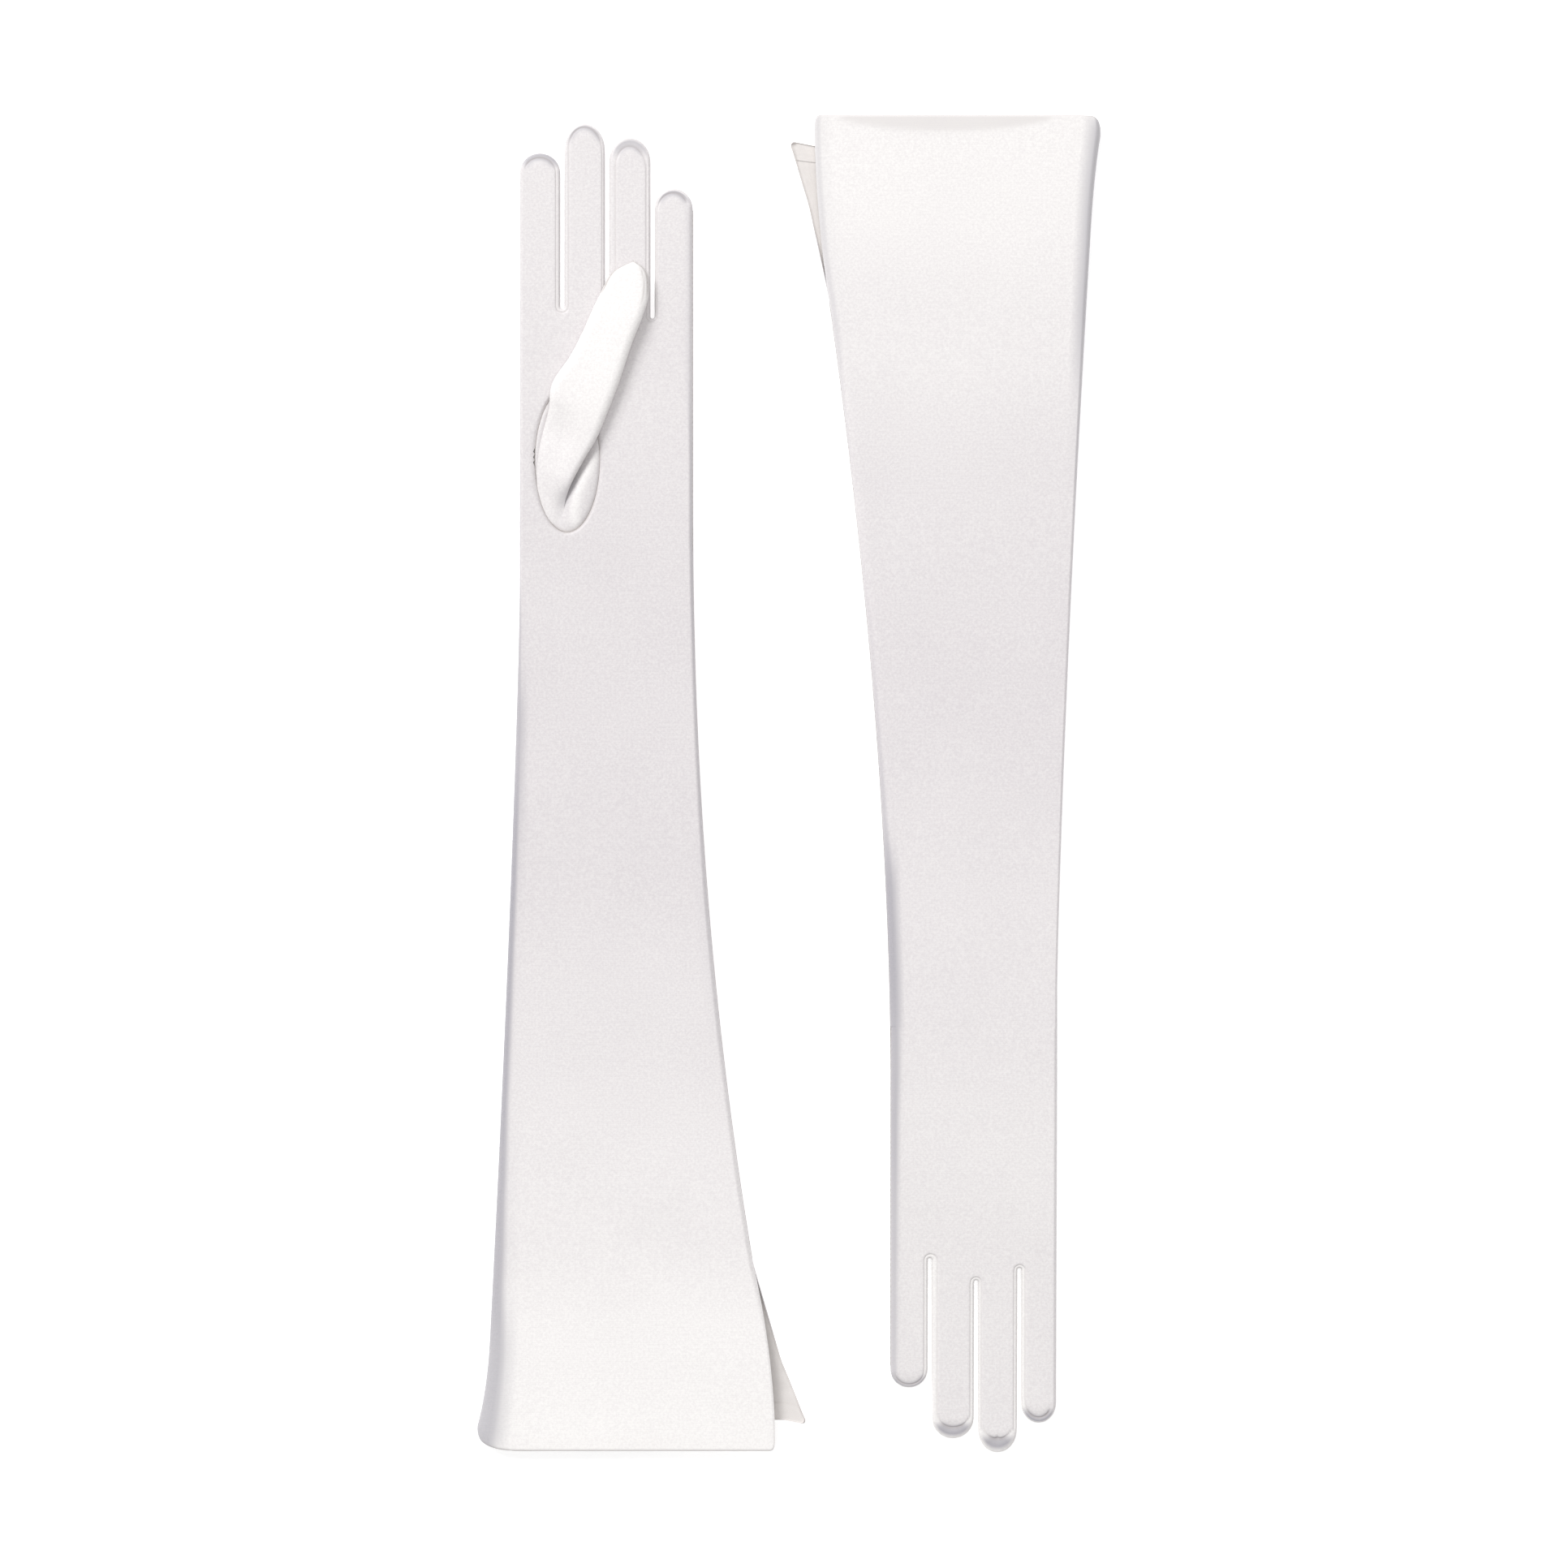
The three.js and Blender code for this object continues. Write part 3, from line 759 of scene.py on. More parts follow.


@dataclass
class Plan:
    """The lines and places of one glove that its pieces share."""

    cut: GloveCut
    place: Placement
    elbow: float
    wrist: float
    knuckle: float
    tip: float
    spans: list[tuple[float, float, float]]  # each finger's two edges and its tip
    crotches: list[tuple[float, float]]  # the centre of each crotch
    pivot: tuple[float, float]

    @classmethod
    def read(cls, cut: GloveCut, pivot: Vector) -> "Plan":
        """Reads a glove's places from the frame.

        Args:
            cut: the glove's cut.
            pivot: the place of the thumb's joint, in metres.

        Returns:
            The plan.
        """
        name = cut.side.value
        sign = 1.0 if cut.side is Side.LEFT else -1.0
        hand_low, hand_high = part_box(f"{name}_hand")
        sleeve_low, sleeve_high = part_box(f"{name}_upper_sleeve")
        corner = (hand_low.x, sleeve_low.y, 0.0) if sign > 0 else (hand_high.x, sleeve_high.y, hand_high.z)
        place = Placement(tuple(x / MM for x in corner), sign)

        def extent(*nodes: str) -> tuple[np.ndarray, np.ndarray]:
            """The lowest and highest corners of some of the glove's nodes."""
            corners = np.array([place.local(c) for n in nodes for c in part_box(f"{name}_{n}")])
            return corners.min(0), corners.max(0)

        legs = {
            "index": ["index_fourchette_to_middle"],
            "middle": ["middle_fourchette_to_index", "middle_fourchette_to_ring"],
            "ring": ["ring_fourchette_to_middle", "ring_fourchette_to_little"],
            "little": ["little_fourchette_to_ring"],
        }
        spans = []
        for finger in FINGERS:
            low, high = extent(f"{finger}_finger", *legs[finger])
            spans.append((float(low[0]), float(high[0]), float(high[1])))
        crotches = []
        for first, second in zip(FINGERS, FINGERS[1:]):
            low, high = extent(f"fourchette_{first}_{second}")
            crotches.append((float(low[0] + high[0]) / 2, float(low[1]) + FOURCHETTE_ROOT))
        return cls(
            cut=cut,
            place=place,
            elbow=float(extent("forearm_sleeve")[0][1]),
            wrist=float(extent("hand")[0][1]),
            knuckle=float(extent("middle_finger")[0][1]),
            tip=float(extent("middle_finger")[1][1]),
            spans=spans,
            crotches=crotches,
            pivot=tuple(place.local(pivot)[:2]),
        )

    @property
    def name(self) -> str:
        """The glove's name."""
        return self.cut.side.value

    @property
    def width(self) -> float:
        """Width of the hand."""
        return self.spans[3][1]

    @property
    def hand_start(self) -> float:
        """Where the hand's own cloth starts."""
        return self.wrist + HAND_START

    @property
    def finger_start(self) -> float:
        """Where the fingers' own cloth starts."""
        return self.knuckle - FINGER_START

    def index_edge(self, v: np.ndarray) -> np.ndarray:
        """The folded edge of the glove.

        Args:
            v: places along.

        Returns:
            Where the edge lies across.
        """
        reach, power, flick = self.cut.index_flare
        v = np.asarray(v, float)
        flare = np.clip((self.wrist - v) / self.wrist, 0, None) ** power
        return -reach * flare - flick * np.clip((FLICK_LENGTH - v) / FLICK_LENGTH, 0, None) ** 2

    def seam_edge(self, v: np.ndarray, face: Face) -> np.ndarray:
        """The sewn edge of the glove, which parts into two at the vent.

        Args:
            v: places along.
            face: which face.

        Returns:
            Where the edge lies across.
        """
        reach, power = self.cut.seam_flare
        v = np.asarray(v, float)
        start = self.wrist + FLARE_ABOVE_WRIST

        def flared(at: np.ndarray | float) -> np.ndarray:
            """The edge as it would run without the vent."""
            return self.width + reach * np.clip((start - at) / start, 0, None) ** power

        t = np.clip((self.cut.vent - v) / self.cut.vent, 0, None)
        if face is self.cut.front:
            vent = flared(self.cut.vent) + self.cut.front_corner * (1 - (1 - t) ** 2)
        else:
            vent = flared(self.cut.vent) + self.cut.under_corner[0] * t
        return np.where(v > self.cut.vent, flared(v), vent)

    def back(self, v: np.ndarray) -> np.ndarray:
        """Height of the back of the glove."""
        return through(list(zip(self.stations, self.cut.lifts)), v)

    def thickness(self, v: np.ndarray) -> np.ndarray:
        """Thickness of the flat glove."""
        return through(list(zip(self.stations, THICKNESS)), v)

    @property
    def stations(self) -> tuple[float, float, float, float]:
        """Where the heights are set: the hem, the elbow, the hand and the tips."""
        return (0.0, self.elbow, self.wrist + 10, self.tip)

    def fold(self, u: np.ndarray, v: np.ndarray, face: Face) -> np.ndarray:
        """Painted shade along the long edges, where the satin turns over.

        Args:
            u: places across.
            v: places along.
            face: which face.

        Returns:
            0 where there is no painted shade, up to 1 for the deepest.
        """
        low = self._turned(u - self.index_edge(v), v, self.cut.index_fold_shade)
        high = self._turned(self.seam_edge(v, face) - u, v, self.cut.seam_fold_shade)
        return np.maximum(low, high)

    @staticmethod
    def _turned(
        away: np.ndarray, v: np.ndarray, fold: Sequence[tuple[float, float, float]]
    ) -> np.ndarray:
        """Painted shade along one edge, where the satin turns over.

        Args:
            away: distances from the edge.
            v: places along.
            fold: places along with the painted shade's width and depth there.

        Returns:
            0 where there is no painted shade, up to its depth there.
        """
        width = through([(place, wide) for place, wide, _ in fold], v)
        depth = through([(place, deep) for place, _, deep in fold], v)
        return depth * bell(np.maximum(away - 0.6 * width, 0), 0.55 * width)

    def surface(self, u: np.ndarray, v: np.ndarray, share: np.ndarray, face: Face) -> np.ndarray:
        """Height of one face of the glove.

        Args:
            u: places across.
            v: places along.
            share: how much of its half thickness the glove has there.
            face: which face.

        Returns:
            The heights.
        """
        half = self.thickness(v) / 2
        swell = SWELL_HEIGHT * ripples(u, v, self.cut.seed) * smooth((share - 0.7) / 0.3)
        swell = swell * (HAND_SWELL + (1 - HAND_SWELL) * smooth((self.wrist + 30 - v) / 120))
        return self.back(v) + half + face.value * (half * share + swell)


# ---------------------------------------------------------------- the trank


@dataclass
class Outline:
    """The edge of the hand and the fingers, with how it is sewn at each point."""

    points: np.ndarray
    seam: np.ndarray  # distance from the edge to the seam
    sewn: np.ndarray  # 1 where there is such a seam
    tip: np.ndarray  # how far the panel falls towards the seam
    roll: np.ndarray  # width of the round edge
    shade: np.ndarray  # how dark the painted shade is in the fold round a tip
    rim: np.ndarray  # width of the pale rim outside that fold
    contour_shares: tuple[float, ...] = (0.12, 0.42, 0.72)  # of the way from the edge to the seam
    beyond: tuple[float, ...] = (-0.2, 0.0, 0.2, 0.45, 0.95, 1.7, 2.7, 4.0)  # distances past the seam
    batch: int = 1500  # places measured at once

    def inward(self) -> np.ndarray:
        """The way into the glove at each point.

        Returns:
            Unit directions, one row for each point.
        """
        along = np.gradient(self.points, axis=0)
        along /= np.linalg.norm(along, axis=1, keepdims=True)
        return np.stack([along[:, 1], -along[:, 0]], axis=1)

    def nearest(self, at: np.ndarray) -> tuple[np.ndarray, np.ndarray]:
        """Finds the outline's nearest point.

        Args:
            at: places in the plan.

        Returns:
            The distance from each place to the outline, and the index of the nearest point.
        """
        start, step = self.points[:-1], np.diff(self.points, axis=0)
        length = (step**2).sum(1)
        distance, index = np.empty(len(at)), np.empty(len(at), int)
        for low in range(0, len(at), self.batch):
            chunk = at[low : low + self.batch, None]
            t = np.clip(((chunk - start) * step).sum(2) / length, 0, 1)
            gap = np.linalg.norm(start + t[..., None] * step - chunk, axis=2)
            best = gap.argmin(1)
            rows = np.arange(len(best))
            distance[low : low + self.batch] = gap[rows, best]
            index[low : low + self.batch] = best + (t[rows, best] > 0.5)
        return distance, index

    def contours(self) -> list[np.ndarray]:
        """Rows of places at rising distances from the edge.

        Returns:
            One array of places for each distance.
        """
        inward = self.inward()
        distances = [self.seam * share for share in self.contour_shares]
        distances += [self.seam + extra for extra in self.beyond]
        kept = []
        for away in distances:
            row = self.points + inward * away[:, None]
            true, _ = self.nearest(row)
            kept.append(row[true > away - 0.03])
        return kept


@dataclass
class Trank:
    """The palm, back and sleeve in one cloth, and the fourchettes sewn between its fingers."""

    plan: Plan
    side_step: float = 1.2  # between points along a straight edge
    inner_step: float = 3.4  # between points inside the hand
    roll_steps: int = 7
    middle_columns: int = 20
    fold_step: float = 2.0  # between the sleeve's rows where it bends
    plain_step: float = 4.5
    fold_reach: float = 24.0  # how far from a joint the rows are close together
    no_seam: float = 2.2  # where the contours lie along an edge that has no seam
    corner_round: float = 2.6  # of the hem at the vent
    hem_reach: float = 40.0  # how far up the sleeve the hem's line still shifts the rows
    crotch_reach: float = 6.5  # half the width in which a fourchette's strips are looked for
    clearance: float = 3.0  # between the inner points and the rows along the seams
    rim_rows: tuple[float, ...] = (0.0, 0.18, 0.45, 0.9, 1.6, 2.5, -2.0)  # distances from the oval
    strip_drop: float = 0.16  # how much lower the strips between the fingers lie, as a share
    tip_drop: float = 0.80  # how much of the tip's fall the strip outside its seam has
    tip_reach: float = 2.2  # how far in from the seam the tip's fall goes
    groove: float = 0.10  # depth of the groove along a seam, as a share
    groove_width: float = 0.24
    hem_edge_shade: float = 0.62  # how dark the painted shade along the hem's folded edge is
    hollow_span: tuple[float, float] = (0.56, 0.40)  # middle and half width of the hem's hollow
    hollow_depth: float = 9.0  # how far up from the hem the hollow goes
    oval_dip: float = 0.34  # how far the palm dips at the oval's seam, as a share

    def cloth(self) -> Cloth:
        """The whole cloth, before it is divided into pieces.

        Returns:
            The trank with its normals.
        """
        sleeve = self._sleeve()
        hand = self._hand()
        return sleeve.joined(hand).welded().shaded()

    # ---- the sleeve

    def rows(self) -> np.ndarray:
        """Places of the sleeve's rows, closer together where the cloth folds and at the hem.

        Returns:
            Rising places along the glove.
        """
        plan = self.plan
        hem = [0.0, 0.12, 0.4, 0.8, 1.4, 2.2, 3.2, 4.6, 6.2, 8.0, HEM_DEPTH]
        v, rows = HEM_DEPTH, []
        while v < plan.hand_start - 1.0:
            bend = min(abs(v - plan.elbow), abs(v - plan.wrist))
            v += self.fold_step if bend < self.fold_reach else self.plain_step
            rows.append(v)
        rows = [r for r in rows if r < plan.hand_start - 1.0]
        return np.array(hem + rows + [plan.hand_start])

    def columns(self, v: np.ndarray, face: Face) -> np.ndarray:
        """Places across the sleeve.

        Args:
            v: the rows.
            face: which face.

        Returns:
            Places across, with one row for each of v.
        """
        plan = self.plan
        stations = plan.stations[:3]
        low_roll = through(list(zip(stations, plan.cut.index_roll)), v)[:, None]
        high_roll = through(list(zip(stations, plan.cut.seam_roll)), v)[:, None]
        turn = 1 - np.cos(np.linspace(0, math.pi / 2, self.roll_steps + 1))
        turned = 0.40 * plan.cut.hem_round[0] * (1 - quarter(v / 8.0))
        cornered = 0.5 * self.corner_round * (1 - quarter(v / self.corner_round))
        low = (plan.index_edge(v) + turned)[:, None]
        high = (plan.seam_edge(v, face) - cornered)[:, None]
        start, end = low + low_roll, high - high_roll
        inner = start + (end - start) * np.linspace(0, 1, self.middle_columns + 2)[1:-1]
        return np.hstack([low + low_roll * turn, inner, high - high_roll * turn[::-1]])

    def _sleeve(self) -> Cloth:
        """The sleeve from the hem to where the hand's cloth starts."""
        return self.sleeve_face(Face.PALM).joined(self.sleeve_face(Face.BACK))

    def sleeve_face(self, face: Face) -> Cloth:
        """One face of the sleeve.

        Args:
            face: which face.

        Returns:
            The cloth of that face, without normals.
        """
        plan, cut = self.plan, self.plan.cut
        v = self.rows()
        u = self.columns(v, face)
        row = np.broadcast_to(v[:, None], u.shape)
        along = row + self.hem_line(u, face) * np.clip(1 - row / self.hem_reach, 0, 1)
        stations = plan.stations[:3]
        low_roll = through(list(zip(stations, cut.index_roll)), along)
        high_roll = through(list(zip(stations, cut.seam_roll)), along)
        low, high = u - u[:, :1], u[:, -1:] - u
        parted = smooth((cut.vent - along) / VENT_OPENING)
        sewn_side = quarter(high / high_roll) * (1 - parted) + parted * (1 - 0.12 * bell(high, 0.5))
        share = quarter(low / low_roll) * sewn_side
        share = share - 0.14 * bell(row, 0.35) * smooth((low - 1.0) / 6)
        w = plan.surface(u, along, share, face)
        points = np.stack([u, along, w], axis=2).reshape(-1, 3)
        middle, wide = self.hollow_span
        centre, reach = middle * (u[:, -1:] + u[:, :1]), wide * (u[:, -1:] - u[:, :1])
        lens = np.sqrt(np.clip(1 - ((u - centre) / reach) ** 2, 0, 1))
        hollow = cut.hem_hollow * smooth((self.hollow_depth * lens - row) / 3.5)
        # Painted shade: a dark line along the hem's folded edge, carried in the seam mask.
        seam = np.maximum(self.hem_edge_shade * bell(row, 0.5), hollow).reshape(-1)
        # Painted light and shade along the glove, from the cut's tone table.
        tone = through(cut.tone, row).reshape(-1)
        fold = plan.fold(u, row, face).reshape(-1)
        faces = lattice(*u.shape, flip=face is Face.BACK)
        return Cloth(points, faces, {"seam": seam, "tone": tone, "fold": fold})

    def hem_line(self, u: np.ndarray, face: Face) -> np.ndarray:
        """How far the hem lies above v = 0.

        Args:
            u: places across the mouth.
            face: which face.

        Returns:
            Heights along the glove.
        """
        plan, cut = self.plan, self.plan.cut
        rise, run = cut.hem_round
        x = np.clip((u - float(plan.index_edge(np.array(0.0)))) / run, 0, 1)
        corner = float(plan.seam_edge(np.array(0.0), face))
        line = rise * (1 - quarter(x))
        line = line + self.corner_round * (1 - quarter((corner - u) / self.corner_round))
        if face is not cut.front:
            line = line + cut.under_corner[1] * smooth((u - run) / (0.86 * (corner - run)))
            line = line - 0.2 * np.clip(u - corner + 10.5, 0, 10.5)
        return line

    # ---- the hand and the fingers

    def outline(self) -> Outline:
        """The edge of the hand from its folded side, round the fingers, to its sewn side.

        Returns:
            The edge, with how it is sewn.
        """
        plan = self.plan
        rows: list[tuple[float, ...]] = []
        index_roll, seam_roll = plan.cut.index_roll[2], plan.cut.seam_roll[2]

        def run(u: float, start: float, end: float, seam: float, roll: float) -> None:
            """Adds a straight stretch at u; seam and roll are its widths."""
            count = max(2, int(abs(end - start) / self.side_step))
            for v in np.linspace(start, end, count + 1)[1:]:
                rows.append((u, float(v), seam or self.no_seam, float(seam > 0), 0.0, roll, 0.0, 0.0))

        rows.append((0.0, plan.hand_start, self.no_seam, 0.0, 0.0, index_roll, 0.0, 0.0))
        for k, ((low, high, tip), cut) in enumerate(zip(plan.spans, plan.cut.fingers)):
            top, middle, half = tip - cut.rise, (low + high) / 2, (high - low) / 2
            start = plan.crotches[k - 1][1] if k else plan.hand_start
            side_roll = index_roll if k == 0 else FINGER_ROLL
            run(low, start, top, cut.low_seam, side_roll)
            for turn in np.linspace(math.pi, 0, 30)[1:-1]:
                u = middle + half * math.cos(turn)
                v = top + cut.rise * math.sin(turn) ** 0.92
                past = math.sin(turn) ** 0.6
                side = cut.low_seam if turn > math.pi / 2 else cut.high_seam
                seam = (side or self.no_seam) * (1 - past) + cut.tip_seam * past
                sewn = 1.0 if side else float(smooth((past - 0.45) / 0.3))
                roll = FINGER_ROLL + (side_roll - FINGER_ROLL) * (1 - past)
                shade = cut.tip_fold_shade * float(smooth((past - 0.35) / 0.5))
                rows.append((u, v, seam, sewn, cut.tip_fall * past**2, roll, shade, cut.tip_rim * past))
            end = plan.crotches[k][1] if k < 3 else plan.hand_start
            run(high, top, end, cut.high_seam, seam_roll if k == 3 else FINGER_ROLL)
            if k < 3:
                rows += self._crotch(k)
        table = np.array(rows)
        return Outline(table[:, :2], *table[:, 2:].T)

    def _crotch(self, k: int) -> list[tuple[float, ...]]:
        """The round end of the space between two fingers.

        Args:
            k: which space, counted from the index finger.

        Returns:
            Rows of the outline's table.
        """
        u0, v0 = self.plan.crotches[k]
        before, after = self.plan.cut.fingers[k].high_seam, self.plan.cut.fingers[k + 1].low_seam
        rows = []
        for t in np.linspace(0, 1, 12)[1:-1]:
            turn = math.pi * (1 + t)
            seam = before * (1 - t) + after * t
            place = (u0 + GAP * math.cos(turn), v0 + GAP * math.sin(turn))
            rows.append((*place, seam, 1.0, 0.0, FINGER_ROLL, 0.0, 0.0))
        return rows

    def share(
        self, distance: np.ndarray, seam: np.ndarray, sewn: np.ndarray, tip: np.ndarray, roll: np.ndarray
    ) -> np.ndarray:
        """How much of its half thickness the hand has at places.

        Args:
            distance: distance from the edge.
            seam: distance of the seam from the edge.
            sewn: how much of a seam there is.
            tip: how far the panel falls towards the seam.
            roll: width of the round edge.

        Returns:
            Shares between 0 and about 1.
        """
        past = distance - seam
        edge = quarter(distance / roll)
        strip = self.strip_drop * sewn * (1 - smooth((past + 0.1) / 0.8))
        fall = tip * np.where(past > 0, bell(np.maximum(past, 0), self.tip_reach), self.tip_drop)
        groove = self.groove * sewn * bell(past, self.groove_width)
        return edge * (1 - strip - fall) - groove

    def rim_distance(self, at: np.ndarray) -> np.ndarray:
        """Distance from the thumb's oval.

        Args:
            at: places in the plan.

        Returns:
            Distances, below 0 inside the oval.
        """
        plan = self.plan
        x = at[:, 0] - plan.pivot[0]
        y = at[:, 1] - plan.pivot[1] - THUMB_RIM_RISE
        a, b = THUMB_RIM
        ratio = np.sqrt((x / a) ** 2 + (y / b) ** 2)
        slope = np.sqrt((x / a**2) ** 2 + (y / b**2) ** 2)
        return (ratio - 1) * ratio / np.maximum(slope, 1e-6)

    def rim_shade(self, at: np.ndarray) -> np.ndarray:
        """How dark the seam round the oval is, darkest at its wrist end."""
        y = at[:, 1] - self.plan.pivot[1] - THUMB_RIM_RISE
        return 0.15 + 0.65 * smooth((-y - 10.0) / 18.0)

    def rim(self, away: float, count: int = 72) -> np.ndarray:
        """Places round the thumb's oval.

        Args:
            away: their distance outside it.
            count: how many there are.

        Returns:
            One row for each place.
        """
        plan = self.plan
        a, b = THUMB_RIM
        turn = np.linspace(0, 2 * math.pi, count, endpoint=False)
        point = np.stack([a * np.cos(turn), b * np.sin(turn)], axis=1)
        normal = np.stack([np.cos(turn) / a, np.sin(turn) / b], axis=1)
        normal /= np.linalg.norm(normal, axis=1, keepdims=True)
        return point + normal * away + np.array([plan.pivot[0], plan.pivot[1] + THUMB_RIM_RISE])

    def _hand(self) -> Cloth:
        """The hand and the fingers.

        Returns:
            Both faces, without normals.
        """
        plan = self.plan
        outline = self.outline()
        base = self.columns(np.array([plan.hand_start]), Face.PALM)[0]
        bottom = np.stack([base[::-1], np.full(len(base), plan.hand_start)], axis=1)[:-1]
        loop = np.vstack([outline.points, bottom[1:]])
        grid_u = np.arange(1.5, plan.width, self.inner_step)
        grid_v = np.arange(plan.hand_start + 2.5, plan.tip, self.inner_step)
        grid = np.array([(u, v) for v in grid_v for u in grid_u])
        away, _ = outline.nearest(grid)
        inside = self._inside(grid, loop) & (away > float(outline.seam.max()) + self.clearance)
        grid = grid[inside & (np.abs(self.rim_distance(grid)) > self.clearance)]
        rings = [self.rim(row) for row in self.rim_rows]
        contours = [row[row[:, 1] > plan.hand_start + 0.4] for row in outline.contours()]
        places = np.vstack([loop, *contours, grid, *rings])
        edges = [(i, (i + 1) % len(loop)) for i in range(len(loop))]
        made = delaunay_2d_cdt([Vector(p) for p in places.tolist()], edges, [], 1, 1e-5)
        at = np.array([tuple(p) for p in made[0]])
        faces = [tuple(f) for f in made[2]]
        distance, near = outline.nearest(at)
        seam, sewn, shade, rim = (
            values[near] for values in (outline.seam, outline.sewn, outline.shade, outline.rim)
        )
        share = self.share(distance, seam, sewn, outline.tip[near], outline.roll[near])
        past = distance - seam
        across = np.clip((distance - rim) / np.maximum(seam - rim, 0.1), 0, 1)
        # Painted shade: a grey band inside each fingertip's seam that fades into the panel, with the seam
        # line made darker there.
        band = shade * smooth((distance - rim + 0.1) / 0.5)
        band = band * (1 - 0.28 * bell(across - 0.75, 0.22)) * bell(np.maximum(past, 0), plan.cut.tip_fade)
        line = sewn * bell(past, 0.26) * np.maximum(plan.cut.seam_line, shade)
        strip = sewn * smooth((0.2 - past) / 0.4) * (1 - shade)
        pale = np.maximum(strip, shade * smooth((rim - distance) / 0.4 + 1))
        # Painted light and shade along the glove, made paler on the strips and outside the tips' folds.
        tone = through(plan.cut.tone, at[:, 1])
        tone = tone + (plan.cut.strip_tone - tone) * pale
        oval = np.maximum(self.rim_distance(at), 0)
        drop = self.rim_shade(at)
        pieces = []
        for face in Face:
            height = share
            if face is Face.PALM:
                height = height - self.oval_dip * bell(oval, 0.55) - 0.10 * bell(oval, 2.2)
            w = plan.surface(at[:, 0], at[:, 1], height, face)
            fold = np.maximum(plan.fold(at[:, 0], at[:, 1], face), band)
            seams_and_shade = line
            if face is Face.PALM:
                seams_and_shade = np.maximum(line, drop * bell(oval, 0.45))
            masks = {"seam": seams_and_shade, "tone": tone, "fold": fold}
            masks |= {"distance": distance, "offset": seam, "sewn": sewn}
            cloth = Cloth(np.column_stack([at, w]), faces, masks)
            if face is Face.PALM:
                centre = cloth.centres()[:, :2]
                cloth = cloth.part(self.rim_distance(centre) > 0)
            else:
                cloth.faces = [f[::-1] for f in cloth.faces]
            pieces.append(cloth)
        return pieces[0].joined(pieces[1])

    @staticmethod
    def _inside(at: np.ndarray, loop: np.ndarray) -> np.ndarray:
        """Which places lie inside a closed loop.

        Args:
            at: places in the plan.
            loop: the loop's corners.

        Returns:
            One truth value for each place.
        """
        inside = np.zeros(len(at), bool)
        for (u0, v0), (u1, v1) in zip(loop, np.roll(loop, -1, axis=0)):
            if v0 == v1:
                continue
            crosses = (at[:, 1] < v0) != (at[:, 1] < v1)
            inside ^= crosses & (at[:, 0] < u0 + (at[:, 1] - v0) / (v1 - v0) * (u1 - u0))
        return inside

    def pieces(self) -> dict[str, Cloth]:
        """The cloth divided, with the same normals on both sides of each cut.

        Returns:
            The pieces by name.
        """
        plan, cloth = self.plan, self.cloth()
        centre = cloth.centres()
        u, v = centre[:, 0], centre[:, 1]
        masks = cloth.masks
        strip = np.array(
            [
                np.mean([masks["sewn"][i] for i in f]) > 0.5
                and np.mean([masks["distance"][i] - masks["offset"][i] for i in f]) < -0.02
                for f in cloth.faces
            ]
        )
        middle = (plan.elbow + plan.wrist) / 2
        rows = self.rows()
        divide = rows[np.abs(rows - middle).argmin()]
        past_start, past_knuckle = v > plan.hand_start, v > plan.finger_start
        out = {
            "upper_sleeve": cloth.part(v < divide),
            "forearm_sleeve": cloth.part((v > divide) & ~past_start),
        }
        taken = np.zeros(len(u), bool)
        for k, (first, second) in enumerate(zip(FINGERS, FINGERS[1:])):
            u0, v0 = plan.crotches[k]
            near = (np.abs(u - u0) < self.crotch_reach) & (v > v0 - self.crotch_reach)
            near &= strip & past_start
            out[f"fourchette_{first}_{second}"] = cloth.part(near & ~past_knuckle)
            out[f"{first}_fourchette_to_{second}"] = cloth.part(near & past_knuckle & (u < u0))
            out[f"{second}_fourchette_to_{first}"] = cloth.part(near & past_knuckle & (u > u0))
            taken |= near
        out["hand"] = cloth.part(past_start & ~past_knuckle & ~taken)
        for k, finger in enumerate(FINGERS):
            low = plan.crotches[k - 1][0] if k else -math.inf
            high = plan.crotches[k][0] if k < 3 else math.inf
            out[f"{finger}_finger"] = cloth.part(past_knuckle & ~taken & (u > low) & (u < high))
        return out


# ---------------------------------------------------------------- hem, lining and threads


def lined(cloth: Cloth, depth: float | np.ndarray) -> Cloth:
    """Gives a cloth its thickness, with its wrong side inside and its free edges closed.

    Args:
        cloth: the right side, with its normals.
        depth: thickness of the cloth, the same all over or one for each point.

    Returns:
        Both sides, with the mask "inside" on the wrong one.
    """
    count = len(cloth.points)
    inner = cloth.points - cloth.normals * np.broadcast_to(depth, count)[:, None]
    faces = list(cloth.faces) + [tuple(i + count for i in f[::-1]) for f in cloth.faces]
    both, outward = len(faces), np.zeros_like(cloth.points)
    used: dict[frozenset[int], list[tuple[int, int]]] = {}
    for face in cloth.faces:
        for a, b in zip(face, face[1:] + face[:1]):
            used.setdefault(frozenset((a, b)), []).append((a, b))
    for runs in used.values():
        a, b = runs[0]
        if len(runs) == 1:
            faces.append((b, a, a + count, b + count))
            along = cloth.points[b] - cloth.points[a]
            for i in (a, b):
                outward[i] += np.cross(along, cloth.normals[i])
    masks = {name: np.concatenate([values, values * 0]) for name, values in cloth.masks.items()}
    masks["inside"] = np.concatenate([np.zeros(count), np.ones(count)])
    outward /= np.maximum(np.linalg.norm(outward, axis=1, keepdims=True), 1e-9)
    rounded = np.vstack([outward + 0.6 * cloth.normals, outward - 0.6 * cloth.normals])
    rounded /= np.maximum(np.linalg.norm(rounded, axis=1, keepdims=True), 1e-9)
    points, normals = np.vstack([cloth.points, inner]), np.vstack([cloth.normals, -cloth.normals])
    return Cloth(points, faces, masks, normals, len(faces) - both, rounded)


